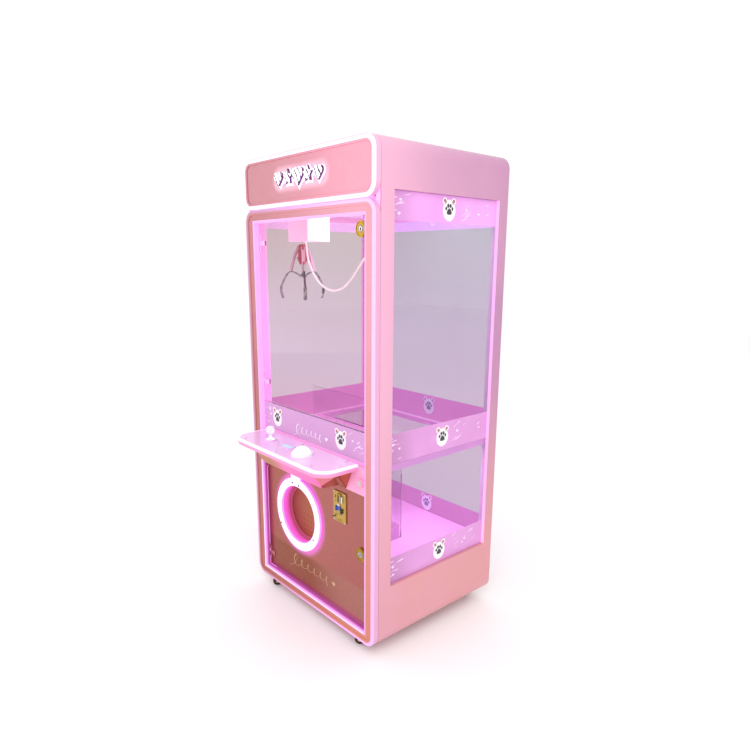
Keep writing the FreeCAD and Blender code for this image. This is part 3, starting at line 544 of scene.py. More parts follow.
def glass(name, front, rear):
    """Tinted sheet: each list of stops sets the tint by height, at the front and the rear; these
    changes of tint are painted light seen in and through the sheet.
    """
    finish = Finish(name, front[0][1], 0.0, IOR=1.18, Transmission_Weight=1.0)
    # Painted light: the tint changes with height and from front to rear.
    height = finish.slope("Z", 0.25, 1.75, smooth=False)
    back = finish.slope("Y", FRONT_Y + 0.08, FRONT_Y + 0.42)
    tint = finish.mix(back, finish.ramp(height, *front), finish.ramp(height, *rear))
    finish.paint(tint)
    finish.feed("Roughness", finish.remap(finish.noise(3.0), 0.4, 0.8, 0.0, 0.02))
    return finish


def clear_glass():
    lower = ((0.0, (0.77, 0.69, 0.79)), (0.38, (0.78, 0.69, 0.79)), (0.65, (0.75, 0.68, 0.78)))
    return glass("clear_glass", (*lower, (1.0, (0.65, 0.57, 0.63))),
                 (*lower, (1.0, (0.72, 0.71, 0.76))))


def door_glass():
    """The glass door, warmer than the sides and pinker at the foot, in painted light."""
    stops = ((0.38, (0.868, 0.653, 0.734)), (0.60, (0.85, 0.73, 0.805)),
             (1.0, (0.75, 0.645, 0.585)))
    return glass("door_glass", stops, stops).material


def clear_acrylic():
    stops = ((0.0, (0.93, 0.90, 0.94)), (1.0, (0.95, 0.92, 0.96)))
    return glass("clear_acrylic", stops, stops)


def metal(name, colour, roughness, stretch=(1, 1, 1), grain=300.0, tone=0.88):
    finish = Finish(name, colour, roughness, 1.0)
    grains = finish.noise(grain, 3.0, stretch)
    finish.paint(finish.ramp(grains, (0.3, shade(colour, tone)), (0.7, colour)))
    finish.feed("Roughness", finish.remap(grains, 0.3, 0.7, roughness * 0.7, roughness * 1.35))
    finish.bump(grains, 0.05, 0.0002)
    return finish


def hinge_tint(finish):
    """Hinge parts are pink above the shelf line; below it they are dark brown, painted shade
    like the lower door beside them.
    """
    height = finish.slope("Z", *SHELF_LINE)
    return finish.mix(height, (0.40, 0.11, 0.09), (0.90, 0.50, 0.86))


def hinge_paint():
    finish = Finish("hinge_paint", (0.6, 0.2, 0.3), 0.4)
    finish.paint(hinge_tint(finish))
    finish.orange_peel()
    return finish.material


def brass_trim():
    """Gold on the lock side; the clamps on the hinge side are painted."""
    finish = metal("brass_trim", (0.50, 0.31, 0.04), 0.26, (1, 1, 0.1))
    lock_side = finish.slope("X", -0.30, -0.28)
    grains = finish.noise(300.0, 3.0, (1, 1, 0.1))
    gold = finish.ramp(grains, (0.3, (0.34, 0.20, 0.022)), (0.7, (0.46, 0.28, 0.034)))
    finish.paint(finish.mix(lock_side, hinge_tint(finish), gold))
    finish.feed("Metallic", lock_side)
    return finish


def lock_steel():
    return metal("lock_steel", (0.34, 0.32, 0.34), 0.30).material


def coin_gold():
    finish = metal("coin_gold", (0.52, 0.34, 0.08), 0.26, (1, 1, 0.1))
    finish.set("Metallic", 0.75)
    return finish.material


def chrome_claw():
    """Chrome with painted reflections: dark and pale patches stand in for the dim cabinet round
    it.
    """
    finish = metal("chrome_claw", (0.30, 0.30, 0.33), 0.14)
    reflection_patches = finish.remap(finish.noise(45.0, 2.0), 0.40, 0.62)
    finish.paint(finish.mix(reflection_patches, (0.16, 0.155, 0.18), (0.50, 0.48, 0.52)))
    return finish


def plastic(name, colour, roughness=0.32, grain=500.0, **sockets):
    finish = Finish(name, colour, roughness, **sockets)
    finish.paint(finish.ramp(finish.noise(30.0), (0.3, shade(colour, 0.92)), (0.7, colour)))
    finish.vary_roughness(80.0, roughness * 0.8, roughness * 1.3)
    finish.bump(finish.noise(grain, 2.0), 0.05, 0.0002)
    return finish


def pink_tunnel():
    """Hot pink beside the ring, fading to brown towards the flap, in painted light: a painted
    glow from the ring at the mouth, painted shade deeper in.
    """
    finish = Finish("pink_tunnel", (0.9, 0.1, 0.4), 0.4)
    low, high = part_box("prize_tunnel")
    depth = finish.slope("Y", low.y, high.y)
    finish.paint(finish.ramp(depth, (0.0, (0.80, 0.13, 0.58)),
                             (0.75, (0.66, 0.12, 0.36)), (1.0, (0.40, 0.10, 0.09))))
    finish.light(finish.ramp(depth, (0.0, (0.50, 0.07, 0.42)),
                             (0.8, (0.10, 0.01, 0.06)), (1.0, BLACK)))
    finish.vary_roughness(50.0, 0.35, 0.5)
    return finish


def smoked_flap():
    """Burnt orange sheet; rows of small diamonds show faintly over its lower part."""
    finish = Finish("smoked_flap", (0.36, 0.09, 0.025), 0.40, 0.4)
    turns = math.pi * 2 / 0.050
    rows = []
    for sign in (1, -1):
        slant = finish.times(finish.along("X"), sign * 1.0)
        path = finish.times(finish.plus(slant, finish.along("Z")), turns)
        rows.append(finish.maths("SINE", path, 0.0))
    diamond = finish.remap(finish.times(*rows), 0.30, 0.45)
    low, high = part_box("prize_flap")
    lower = finish.slope("Z", low.z + 0.09, low.z + 0.13, 0.45, 0.14)
    marks = finish.times(diamond, lower)
    across = finish.slope("X", low.x, high.x)
    body = finish.mix(across, (0.32, 0.085, 0.04), (0.42, 0.11, 0.03))
    finish.paint(finish.mix(marks, body, (0.20, 0.05, 0.02)))
    return finish


def white_plastic():
    # A faint painted blue-white glow keeps the white plastic bright.
    return plastic("white_plastic", (0.88, 0.87, 0.89), 0.26, Emission_Color=(0.9, 0.95, 1, 1),
                   Emission_Strength=0.12)


def clear_knob():
    # A faint painted blue glow in the clear knob.
    finish = plastic("clear_knob", (0.80, 0.86, 1.0), 0.08, IOR=1.40, Transmission_Weight=0.75,
                     Emission_Color=(0.70, 0.78, 1.0, 1), Emission_Strength=0.22)
    return finish


# Slots whose finish is one plain call, with the values that follow the name.
METALS = {"plug_steel": ((0.72, 0.70, 0.67), 0.24),
          "zinc_steel": ((0.66, 0.54, 0.28), 0.34, (1, 1, 1), 300.0, 0.75),
          "bright_steel": ((0.55, 0.55, 0.57), 0.20, (1, 1, 0.08)),
          "extruded_aluminium": ((0.78, 0.74, 0.80), 0.33, (0.05, 1, 1))}
COATS = {"grey_steel": ((0.34, 0.34, 0.37), (0.30, 0.30, 0.33), 0.5),
         "raspberry_coat": ((0.62, 0.05, 0.12), (0.55, 0.04, 0.11), 0.34),
         "pale_pink_links": ((0.96, 0.80, 0.88), (0.94, 0.74, 0.84), 0.30)}
PLASTICS = {"black_wheel": ((0.045, 0.018, 0.012), 0.55),
            "blue_button": ((0.04, 0.08, 0.42), 0.25),
            "black_plastic": ((0.022, 0.022, 0.026), 0.42)}
PLAIN = {slot: (kind, values) for kind, table in ((metal, METALS), (coat, COATS),
                                                  (plastic, PLASTICS))
         for slot, values in table.items()}
SPECIAL = {make.__name__: make for make in
           (pink_powder_coat, rose_band, rose_satin, rose_mirror_acrylic, edge_light_violet,
            edge_light_white, mirror_silver, clear_glass, clear_acrylic, brass_trim,
            chrome_claw, pink_tunnel, smoked_flap, white_plastic, clear_knob)}


def paint_nodes():
    """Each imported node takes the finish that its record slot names; one is made per slot."""
    made = {}
    for row in frame["record"]["subparts"]:
        slot = row["material_slot"]
        if slot in PLAIN and slot not in made:
            kind, values = PLAIN[slot]
            made[slot] = kind(slot, *values).material
        elif slot not in made:
            made[slot] = SPECIAL[slot]().material
        repaint(row["node"], made[slot])
    return made


def repaint(node, material):
    materials = nodes[node].data.materials
    materials.clear()
    materials.append(material)


# ---- special finishes for single nodes ----
def console_metal():
    """Pink rail and lip; the belly is burnt orange, in painted light: its facets get their own
    tones, its front left is hot pink and glows where the ring lights it, and the rail glows
    faintly.
    """
    finish = Finish("console_metal", PINK, 0.32)
    lip = finish.slope("Z", z_at(692.5), z_at(694.5))
    rail = finish.slope("Y", y_at(3.5), y_at(5.0))
    boss = finish.slope("X", 0.316, 0.322)
    plain = finish.most(finish.most(rail, lip), boss)
    # Painted light: side and nose facets in their own tones, the ring-lit front left hot pink.
    aim = finish.split(finish.normal)
    side = finish.remap(aim["X"], 0.55, 0.80)
    beside = finish.remap(finish.size(finish.along("X")), 0.234, 0.240)
    ahead = finish.slope("Y", y_at(-66), y_at(-74))
    near = finish.times(finish.slope("X", -0.14, 0.02), ahead)
    front = finish.mix(near, (0.47, 0.13, 0.014), (0.85, 0.12, 0.42))
    nose = finish.mix(side, front, (0.76, 0.22, 0.28))
    belly = finish.mix(beside, nose, (0.50, 0.17, 0.085))
    body = finish.mix(plain, belly, (0.84, 0.36, 0.56))
    finish.paint(finish.clouded(body, (0.52, 0.16, 0.10), 0.1, 9.0))
    finish.feed("Metallic", finish.remap(plain, 0.0, 1.0, 0.85, 0.0, smooth=False))
    # Painted glow on the ring-lit front left, and faintly on the rail.
    flat = finish.less(1.0, finish.most(side, beside))
    lit = finish.times(finish.times(near, flat), 0.18)
    lit = finish.times(lit, finish.less(1.0, plain))
    rail_glow = finish.times(rail, 0.14)
    finish.light(finish.mix(finish.most(lit, rail_glow), BLACK, (1.0, 0.25, 0.80)))
    finish.orange_peel()
    return finish.material


def shelf_face():
    """The console's top, in painted light: violet from the lit edge and the chamber above,
    lighter towards the lock side.
    """
    finish = Finish("shelf_face", (0.88, 0.56, 0.86), 0.22, Coat_Weight=0.3)
    across = finish.slope("X", -0.30, 0.30)
    body = finish.mix(across, (0.91, 0.54, 0.90), (0.95, 0.63, 0.95))
    finish.paint(finish.clouded(body, (0.90, 0.52, 0.80), 0.3, 6.0))
    finish.orange_peel()
    return finish.material


def post_pink():
    """Bright violet pink with a painted glow at the front; the rear posts on the right are
    painted greyer and dimmer, as seen through the glass.
    """
    finish = Finish("post_pink", (0.94, 0.50, 0.84), 0.42)
    rear = finish.slope("Y", y_at(300), y_at(500))
    right = finish.times(rear, finish.slope("X", -0.1, 0.1))
    finish.paint(finish.mix(right, (0.94, 0.50, 0.84), (0.62, 0.56, 0.66)))
    finish.light(finish.mix(right, (0.62, 0.31, 0.62), (0.16, 0.14, 0.18)))
    finish.orange_peel()
    return finish.material


def washed_pink(name, colour, glow, strength):
    """Inner panels, with a painted glow standing in for the light of the lit strips round the
    front.
    """
    finish = Finish(name, colour, 0.42, Emission_Color=(*glow, 1), Emission_Strength=strength)
    cloud = finish.remap(finish.noise(5.0), 0.3, 0.7)
    finish.paint(finish.mix(cloud, colour, shade(colour, 0.92)))
    finish.orange_peel()
    return finish.material


def button_dome():
    """Lit white dome with a green cast low round its skirt."""
    finish = Finish("button_dome", (0.85, 0.92, 0.88), 0.22)
    low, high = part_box("grab_button")
    height = finish.slope("Z", high.z - 0.034, high.z - 0.012)
    finish.paint(finish.mix(height, (0.62, 0.86, 0.76), (0.92, 0.96, 0.95)))
    finish.light(finish.mix(height, (0.10, 0.22, 0.18), (0.32, 0.38, 0.36)))
    finish.vary_roughness(40.0, 0.18, 0.28)
    return finish.material


def joystick_rim():
    """Pink bezel with a pale blue lit middle."""
    finish = Finish("joystick_rim", (0.85, 0.5, 0.8), 0.25)
    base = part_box("joystick_base")
    middle = (base[0] + base[1]) / 2
    away = finish.reach(finish.less(finish.along("X"), middle.x),
                        finish.less(finish.along("Y"), middle.y))
    inner = finish.fade(away, 0.0165, 0.0195)
    finish.paint(finish.mix(inner, (0.86, 0.56, 0.88), (0.75, 0.85, 1.0)))
    finish.light(finish.mix(inner, (0.04, 0.01, 0.04), (0.40, 0.52, 0.75)))
    return finish.material


def lead_white():
    # A painted glow keeps the lead bright white.
    finish = plastic("lead_white", (0.94, 0.91, 0.92), 0.35, Emission_Color=(1.0, 0.94, 0.97, 1),
                     Emission_Strength=0.55)
    return finish.material


def carriage_finish():
    """Near white pink with a painted glow; its lock-side face is painted paler and glows
    brighter, as lit by the header's lamps.
    """
    finish = Finish("carriage_finish", (0.92, 0.62, 0.82), 0.34)
    side = finish.remap(finish.facing("X"), 0.3, 0.8)
    cloud = finish.remap(finish.noise(6.0), 0.3, 0.7)
    front = finish.mix(cloud, (0.90, 0.52, 0.74), (0.92, 0.56, 0.78))
    finish.paint(finish.mix(side, front, (0.95, 0.88, 0.95)))
    finish.light(finish.mix(side, (0.70, 0.46, 0.72), (1.0, 0.90, 1.0)))
    finish.orange_peel()
    return finish.material


# ---- mesh helpers ----
class Wall:
    """A flat face: u and v run across and up it, and out is its normal."""

    def __init__(self, origin, u, v):
        self.origin, self.u, self.v = Vector(origin), Vector(u), Vector(v)
        self.out = self.u.cross(self.v)

    def point(self, u, v, w):
        return self.origin + self.u * u + self.v * v + self.out * w


def front_wall(y):
    """The face at y that looks forwards: u is x and v is z."""
    return Wall((0, y, 0), (1, 0, 0), (0, 0, 1))


def mesh_object(name, bm, material, smooth=False):
    bmesh.ops.recalc_face_normals(bm, faces=bm.faces)
    mesh = bpy.data.meshes.new(name)
    bm.to_mesh(mesh)
    bm.free()
    mesh.materials.append(material)
    for face in mesh.polygons:
        face.use_smooth = smooth
    obj = bpy.data.objects.new(name, mesh)
    scene.collection.objects.link(obj)
    return obj


def finish_mesh(name, bm, material, body, smooth=False):
    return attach(mesh_object(name, bm, material, smooth), body)


def add_skin(bm, rings):
    """A closed solid through a row of rings of points."""
    rings = [[bm.verts.new(point) for point in ring] for ring in rings]
    for low, high in zip(rings, rings[1:]):
        for i in range(len(low)):
            j = (i + 1) % len(low)
            bm.faces.new((low[i], low[j], high[j], high[i]))
    bm.faces.new(rings[0][::-1])
    bm.faces.new(rings[-1])


def add_plate(bm, wall, outline, w0, w1):
    """A closed plate with a flat outline, between two heights over the wall."""
    add_skin(bm, [[wall.point(u, v, w) for u, v in outline] for w in (w0, w1)])


def add_lathe(bm, base, axis, profile, segments=20):
    """A closed turned shape from (radius, height) pairs; the ends close on the axis."""
    axis = Vector(axis).normalized()
    side = axis.orthogonal().normalized()
    other = axis.cross(side)
    rings = []
    for radius, height in profile:
        turns = [2 * math.pi * i / segments for i in range(segments)]
        rings.append([Vector(base) + axis * height + side * radius * math.cos(t)
                      + other * radius * math.sin(t) for t in turns])
    add_skin(bm, rings)


def disc(cu, cv, radius, count=32, squash=1.0):
    turns = [2 * math.pi * i / count for i in range(count)]
    return [(cu + radius * math.cos(t), cv + radius * squash * math.sin(t)) for t in turns]


def rounded_box(u0, u1, v0, v1, radius, steps=6):
    corners = ((u1 - radius, v0 + radius, -90), (u1 - radius, v1 - radius, 0),
               (u0 + radius, v1 - radius, 90), (u0 + radius, v0 + radius, 180))
    points = []
    for cu, cv, start in corners:
        for i in range(steps + 1):
            t = math.radians(start + 90 * i / steps)
            points.append((cu + radius * math.cos(t), cv + radius * math.sin(t)))
    return points


def heart(cu, cv, width, count=40):
    points = []
    for i in range(count):
        t = 2 * math.pi * i / count
        u = 16 * math.sin(t) ** 3
        v = 13 * math.cos(t) - 5 * math.cos(2 * t) - 2 * math.cos(3 * t) - math.cos(4 * t)
        points.append((cu + u * width / 32, cv + v * width / 32))
    return points


def stroke(cu, cv, length, width, angle, bow=0.0, count=9):
    """One dry brush mark: a bowed sliver that thins to both ends."""
    upper, lower = [], []
    c, s = math.cos(angle), math.sin(angle)
    for i in range(count):
        t = i / (count - 1)
        half = width / 2 * math.sin(math.pi * (0.08 + 0.84 * t)) ** 0.7
        along = (t - 0.5) * length
        rise = bow * (1 - (2 * t - 1) ** 2)
        for side, points in ((1, upper), (-1, lower)):
            across = rise + side * half
            points.append((cu + along * c - across * s, cv + along * s + across * c))
    return lower + upper[::-1]


def add_ribbon(bm, wall, line, widths, w0, w1):
    """A flat strip along a line, as a closed solid."""
    rows = []
    for i, (u, v) in enumerate(line):
        before, after = line[max(i - 1, 0)], line[min(i + 1, len(line) - 1)]
        du, dv = after[0] - before[0], after[1] - before[1]
        size = math.hypot(du, dv) or 1.0
        nu, nv = -dv / size * widths[i] / 2, du / size * widths[i] / 2
        rows.append([wall.point(u + s * nu, v + s * nv, w)
                     for s, w in ((-1, w0), (1, w0), (1, w1), (-1, w1))])
    add_skin(bm, rows)


# ---- the carriage's lead ----
LEAD_DIAMETER = 0.008
LEAD_ROUTE = [(-232, 179, 1529.5), (-230, 179, 1494), (-213, 176, 1450), (-180, 170, 1407),
              (-130, 161, 1368), (-62, 148, 1341), (16, 135, 1331), (90, 122, 1345),
              (150, 111, 1376), (199, 102, 1414), (245, 94, 1452), (296, 86, 1484),
              (340, 75, 1501), (374.9, 69.5, 1507)]
LEAD_SPLIT_X = 0.150          # where the carriage's share meets the post's share
CORD_SIDES = 14               # points round the lead and the hoist cable


def lead_line():
    """Points down the lead's own NURBS line."""
    curve = bpy.data.curves.new("lead_line", "CURVE")
    curve.dimensions = "3D"
    curve.resolution_u = 10
    spline = curve.splines.new("NURBS")
    spline.points.add(len(LEAD_ROUTE) - 1)
    for point, place in zip(spline.points, LEAD_ROUTE):
        point.co = (*at(*place), 1)
    spline.order_u = 3
    spline.use_endpoint_u = True
    carrier = bpy.data.objects.new("lead_line", curve)
    mesh = bpy.data.meshes.new_from_object(carrier)
    line = [v.co.copy() for v in mesh.vertices]
    bpy.data.meshes.remove(mesh)
    bpy.data.objects.remove(carrier)
    bpy.data.curves.remove(curve)
    return line


def cord_piece(name, line, diameter, material):
    """A tube of rings down a line; it rides no body."""
    rings = []
    side = Vector((0, 1, 0))
    for i, point in enumerate(line):
        ahead = (line[min(i + 1, len(line) - 1)] - line[max(i - 1, 0)]).normalized()
        side = (side - ahead * side.dot(ahead)).normalized()
        other = ahead.cross(side)
        turns = [2 * math.pi * k / CORD_SIDES for k in range(CORD_SIDES)]
        rings.append([point + (side * math.cos(t) + other * math.sin(t)) * diameter / 2
                      for t in turns])
    bm = bmesh.new()
    add_skin(bm, rings)
    return mesh_object(name, bm, material, True)


def make_lead(material):
    line = lead_line()
    split = min(range(len(line)), key=lambda i: abs(line[i].x - LEAD_SPLIT_X))
    shares = (("lead_from_post", line[split:][::-1], "cabinet", "bridge"),
              ("lead_to_carriage", line[:split + 1][::-1], "bridge", "carriage"))
    for name, points, first, second in shares:
        piece = cord_piece(name, points, LEAD_DIAMETER, material)
        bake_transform(piece)
        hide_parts("carriage_lead")


CABLE_STEPS = 40


def make_cable(material):
    """The hoist cable: a straight tube down the middle of the CAD cable, which is hidden."""
    low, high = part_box("hoist_cable")
    middle = (low + high) / 2
    line = [Vector((middle.x, middle.y, high.z + (low.z - high.z) * i / CABLE_STEPS))
            for i in range(CABLE_STEPS + 1)]
    piece = cord_piece("hoist_wire", line, high.x - low.x, material)
    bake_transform(piece)
    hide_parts("hoist_cable")


# ---- printed films on the glass ----
FILM_T = 0.0003
FILM_GAP = 0.0002
PRINT_T = 0.0003


def film_finish():
    """Printed film with a painted glow, brighter near the header's lamps and much brighter on
    its side towards the cabinet; its colour is darker near the front end.
    """
    finish = Finish("film_violet", (0.6, 0.3, 0.56), 0.28, Alpha=0.84)
    cloud = finish.remap(finish.noise(7.0, 2.0), 0.3, 0.7)
    near = finish.fade(finish.along("Y"), FRONT_Y + 0.09, FRONT_Y + 0.25, 0.60)
    cloudy = finish.mix(cloud, (0.62, 0.315, 0.58), (0.56, 0.27, 0.53))
    finish.paint(finish.mix(near, cloudy, (0.30, 0.14, 0.26)))
    high = finish.slope("Z", 1.2, 1.6)
    outer = finish.mix(high, (0.13, 0.055, 0.13), (0.24, 0.10, 0.24))
    sill = finish.fade(finish.along("Y"), FRONT_Y + 0.04, FRONT_Y + 0.06)
    outer = finish.mix(sill, outer, (0.25, 0.165, 0.28))
    low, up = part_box("window_glass")
    spot, aim = finish.split(finish.place), finish.split(finish.normal)
    across = finish.times(spot["X"], aim["X"])
    along = finish.times(finish.less(spot["Y"], (low.y + up.y) / 2), aim["Y"])
    away = finish.remap(finish.plus(across, along), -0.05, 0.05)
    within = finish.mix(high, (0.74, 0.30, 0.64), (1.35, 0.90, 1.60))
    finish.light(finish.mix(away, within, outer))
    return finish.material


def print_finish(name, colour, glow):
    # Each ink gets a painted glow in its own colour, of strength glow.
    finish = Finish(name, colour, 0.4, Emission_Color=(*colour, 1), Emission_Strength=glow)
    finish.paint(finish.ramp(finish.noise(140.0), (0.3, shade(colour, 0.9)), (0.7, colour)))
    return finish.material


PAW_TOES = ((-0.50, 0.10, 0.155), (-0.19, 0.40, 0.175), (0.19, 0.40, 0.175),
            (0.50, 0.10, 0.155))


def paw(cu, cv, size):
    """A paw print: one broad pad and four toes."""
    shapes = [[(cu + size * toe[0] + u, cv + size * toe[1] + v)
               for u, v in disc(0, 0, size * toe[2], 20, 1.3)] for toe in PAW_TOES]
    pad = []
    for i in range(28):
        t = 2 * math.pi * i / 28
        reach = 0.34 * size * (1 + 0.12 * math.cos(3 * t + math.pi / 2))
        pad.append((cu + reach * 1.15 * math.cos(t), cv - 0.24 * size + reach * math.sin(t)))
    return shapes + [pad]


BADGE = 0.033                 # radius of a badge's disc


def dress_badge(name, wall, u, v, inks, body, top):
    """A round badge with two small ears and a paw print."""
    plate = bmesh.new()
    add_plate(plate, wall, disc(u, v - 0.003, BADGE, 48, 1.12), top, top + 2 * PRINT_T)
    ears = [(u + side * 0.024, v + 0.030) for side in (-1, 1)]
    for eu, ev in ears:
        add_plate(plate, wall, disc(eu, ev, 0.0115, 24), top, top + 2 * PRINT_T)
    finish_mesh(name, plate, inks["white"], body)
    pads = bmesh.new()
    for outline in paw(u, v, BADGE):
        add_plate(pads, wall, outline, top + 2 * PRINT_T, top + 3 * PRINT_T)
    finish_mesh(name + "_paw", pads, inks["dark"], body)
    tips = bmesh.new()
    for eu, ev in ears:
        add_plate(tips, wall, disc(eu, ev, 0.0066, 20), top + 2 * PRINT_T, top + 3 * PRINT_T)
    finish_mesh(name + "_tips", tips, inks["rose"], body)


def dress_film(name, wall, span, rows, inks, body, badge_at, strokes_at, seed):
    """One printed band: the film, its badges, and pale brush marks with small hearts."""
    v0, v1 = rows
    bm = bmesh.new()
    add_plate(bm, wall, rounded_box(span[0], span[1], v0, v1, 0.003), FILM_GAP,
              FILM_GAP + FILM_T)
    finish_mesh(name, bm, inks["film"], body)
    top = FILM_GAP + FILM_T
    rng = random.Random(seed)
    marks = bmesh.new()
    for start, end, count, lean in strokes_at:
        for i in range(count):
            u = rng.uniform(start, end)
            v = rng.uniform(v0 + 0.012, v1 - 0.010)
            length = rng.uniform(0.014, 0.040)
            angle = math.radians(lean + rng.uniform(-10, 10))
            length = min(length, 1.6 * min(u - span[0], span[1] - u) + 0.006)
            add_plate(marks, wall, stroke(u, v, length, rng.uniform(0.0012, 0.0034), angle,
                                          rng.uniform(-0.002, 0.003)), top, top + PRINT_T)
        for i in range(2):
            u = rng.uniform(start + 0.012, end)
            v = rng.uniform(v0 + 0.018, v1 - 0.020)
            add_plate(marks, wall, heart(u, v, rng.uniform(0.009, 0.014)), top, top + PRINT_T)
    finish_mesh(name + "_marks", marks, inks["pale"], body)
    for number, u in enumerate(badge_at, 1):
        dress_badge("%s_badge_%d" % (name, number), wall, u, (v0 + v1) / 2, inks, body, top)


FILM_ROWS = (("top", 1585, 1681), ("middle", 720, 835), ("bottom", 240, 346))
WINDOW_ENDS = (82, 638)       # the side windows' front and rear ends, in cabinet millimetres
SIDE_BADGE = 366              # the badges' place along the side windows
GLASS_T = 6                   # thickness of the window sheets
SILL_FACE = 27                # front face of the fixed sheet under the glass door
BACK_HALF = 0.363             # half the width of the rear films
BACK_BADGE_X = 0.028


def make_films():
    inks = {"film": film_finish(), "white": print_finish("ink_white", (0.88, 0.86, 0.88), 0.12),
            "pale": print_finish("ink_pale", (0.86, 0.66, 0.86), 0.22),
            "dark": print_finish("ink_dark", (0.045, 0.035, 0.05), 0.0),
            "rose": print_finish("ink_rose", (0.48, 0.19, 0.18), 0.0)}
    behind = {"white": print_finish("ink_ghost", (0.78, 0.70, 0.90), 0.30),
              "dark": print_finish("ink_slate", (0.28, 0.22, 0.42), 0.10),
              "rose": print_finish("ink_mauve", (0.58, 0.32, 0.58), 0.10)}
    low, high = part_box("window_glass")
    span = tuple(y_at(end) for end in WINDOW_ENDS)
    right = Wall((high.x, 0, 0), (0, 1, 0), (0, 0, 1))
    left = Wall((low.x, 0, 0), (0, -1, 0), (0, 0, 1))
    back = Wall((0, high.y, 0), (-1, 0, 0), (0, 0, 1))
    inner = front_wall(high.y - GLASS_T * MM)
    centre = y_at(SIDE_BADGE)
    front_end = (span[0] + 0.006, span[0] + 0.075, 7, 8)
    rear_half = (centre + 0.07, span[1] - 0.05, 8, 28)
    for seed, (row, z0, z1) in enumerate(FILM_ROWS):
        rows = (z_at(z0), z_at(z1))
        dress_film("film_right_" + row, right, span, rows, inks, "cabinet", (centre,),
                   (front_end, rear_half), 11 + seed)
        flipped = tuple((-b, -a, n, -lean) for a, b, n, lean in (front_end, rear_half))
        dress_film("film_left_" + row, left, (-span[1], -span[0]), rows, inks, "cabinet",
                   (-centre,), flipped, 21 + seed)
        dress_film("film_back_" + row, back, (-BACK_HALF, BACK_HALF), rows, inks, "cabinet",
                   (-BACK_BADGE_X,), ((-BACK_HALF + 0.01, -BACK_HALF + 0.09, 8, 8),
                                      (0.12, BACK_HALF - 0.05, 8, 24)), 31 + seed)
        dress_badge("film_back_%s_behind" % row, inner, BACK_BADGE_X, sum(rows) / 2 + 0.008,
                    behind, "cabinet", FILM_GAP)
    sill = front_wall(y_at(SILL_FACE))
    rows = (z_at(724), z_at(836))
    dress_film("film_front_sill", sill, (-0.352, 0.352), rows, inks, "cabinet",
               (-0.2585, 0.1905), ((0.24, 0.33, 7, 20), (-0.33, -0.31, 3, 10)), 41)
    return inks


# ---- flourishes, in place of lettering ----
def flourish_line(u0, u1, v, height, loops=6, count=360):
    """A run of slanted loops that shrinks from one tall swirl to an even hand."""
    line = []
    for i in range(count):
        t = i / (count - 1)
        phase = 2 * math.pi * loops * t + math.pi
        swell = height / 2 * (0.34 + 0.66 * math.exp(-7.0 * t) + 0.30 * math.exp(-60 * (1 - t)))
        rise = swell * math.cos(phase)
        u = u0 + (u1 - u0) * t ** 0.9 - 0.72 * swell * math.sin(phase) + 0.40 * rise
        line.append((u, v + rise))
    return line


def flourish(name, wall, u0, u1, v, height, material, body, w0):
    bm = bmesh.new()
    line = flourish_line(u0, u1, v, height)
    widths = [0.0012 + 0.0024 * max(0.0, line[i][1] - line[min(i + 2, len(line) - 1)][1]) / 0.003
              for i in range(len(line))]
    add_ribbon(bm, wall, line, [min(w, 0.0036) for w in widths], w0, w0 + PRINT_T)
    add_plate(bm, wall, heart(u1 + 0.030, v, height * 0.26), w0, w0 + PRINT_T)
    finish_mesh(name, bm, material, body)


def make_flourishes(inks):
    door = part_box("service_door")[0].y
    wall = front_wall(door)
    gold = print_finish("ink_gold", (0.60, 0.36, 0.19), 0.04)
    flourish("door_flourish", wall, -0.180, 0.105, z_at(147), 0.084, gold,
             "service_door", FILM_GAP)
    sill = front_wall(y_at(SILL_FACE))
    flourish("sill_flourish", sill, -0.128, 0.068, z_at(760), 0.068, inks["white"],
             "cabinet", FILM_GAP + FILM_T)


# ---- emblem halo ----
def star(cu, cv, width):
    points = []
    for i in range(10):
        t = math.radians(90 + 36 * i)
        reach = width * (0.52 if i % 2 == 0 else 0.37)
        points.append((cu + reach * math.cos(t), cv + reach * math.sin(t)))
    return points


def make_halo():
    """A thin lit plate behind each heart and star, following its outline all round."""
    low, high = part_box("marquee_emblem")
    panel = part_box("marquee_panel")[0].y
    wall = front_wall(panel)
    glow = Finish("halo_white", (0.6, 0.5, 0.6), 0.35)
    lamps = glow.lamps()
    glow.light(glow.mix(lamps, (1.0, 0.70, 1.0), (1.0, 0.80, 1.0)))
    bm = bmesh.new()
    pitch = (high.x - low.x) / 4.9
    middle = (low.x + high.x) / 2
    height = (low.z + high.z) / 2
    for i in range(5):
        outline = heart if i % 2 == 0 else star
        size = 0.092 if i == 2 else 0.072
        add_plate(bm, wall, outline(middle + (i - 2) * pitch, height, size),
                  0.0004 + 0.0001 * i, 0.0020 + 0.0002 * i)
    finish_mesh("emblem_halo", bm, glow.material, "cabinet")


# ---- fasteners and small trim ----
def screw_heads(name, places, axis, radius, material, body):
    """Pan heads, each a small turned dome with a shallow round dip in its middle."""
    bm = bmesh.new()
    tall = radius * 0.55
    profile = ((radius, 0.0), (radius, tall * 0.45), (radius * 0.86, tall * 0.78),
               (radius * 0.55, tall), (radius * 0.22, tall * 0.98), (radius * 0.16, tall * 0.5))
    for place in places:
        add_lathe(bm, place, axis, profile, 18)
    return finish_mesh(name, bm, material, body, True)


def make_screws(made):
    steel = made["plug_steel"]
    shelf = [at(x, y, SHELF_TOP) for x, y in
             ((-244, -140), (-8, -140), (230, -141), (270, -9), (-13, -10))]
    screw_heads("shelf_screws", shelf, (0, 0, 1), 0.0042, steel, "cabinet")
    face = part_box("prize_ring_light")[0].y
    dark = made["black_plastic"]
    ring = [Vector((x * MM, face, z_at(z))) for x, z in
            ((-140, 514), (-92, 513), (-238, 296), (8, 299))]
    screw_heads("ring_screws", ring, (0, -1, 0), 0.0042, dark, "service_door")


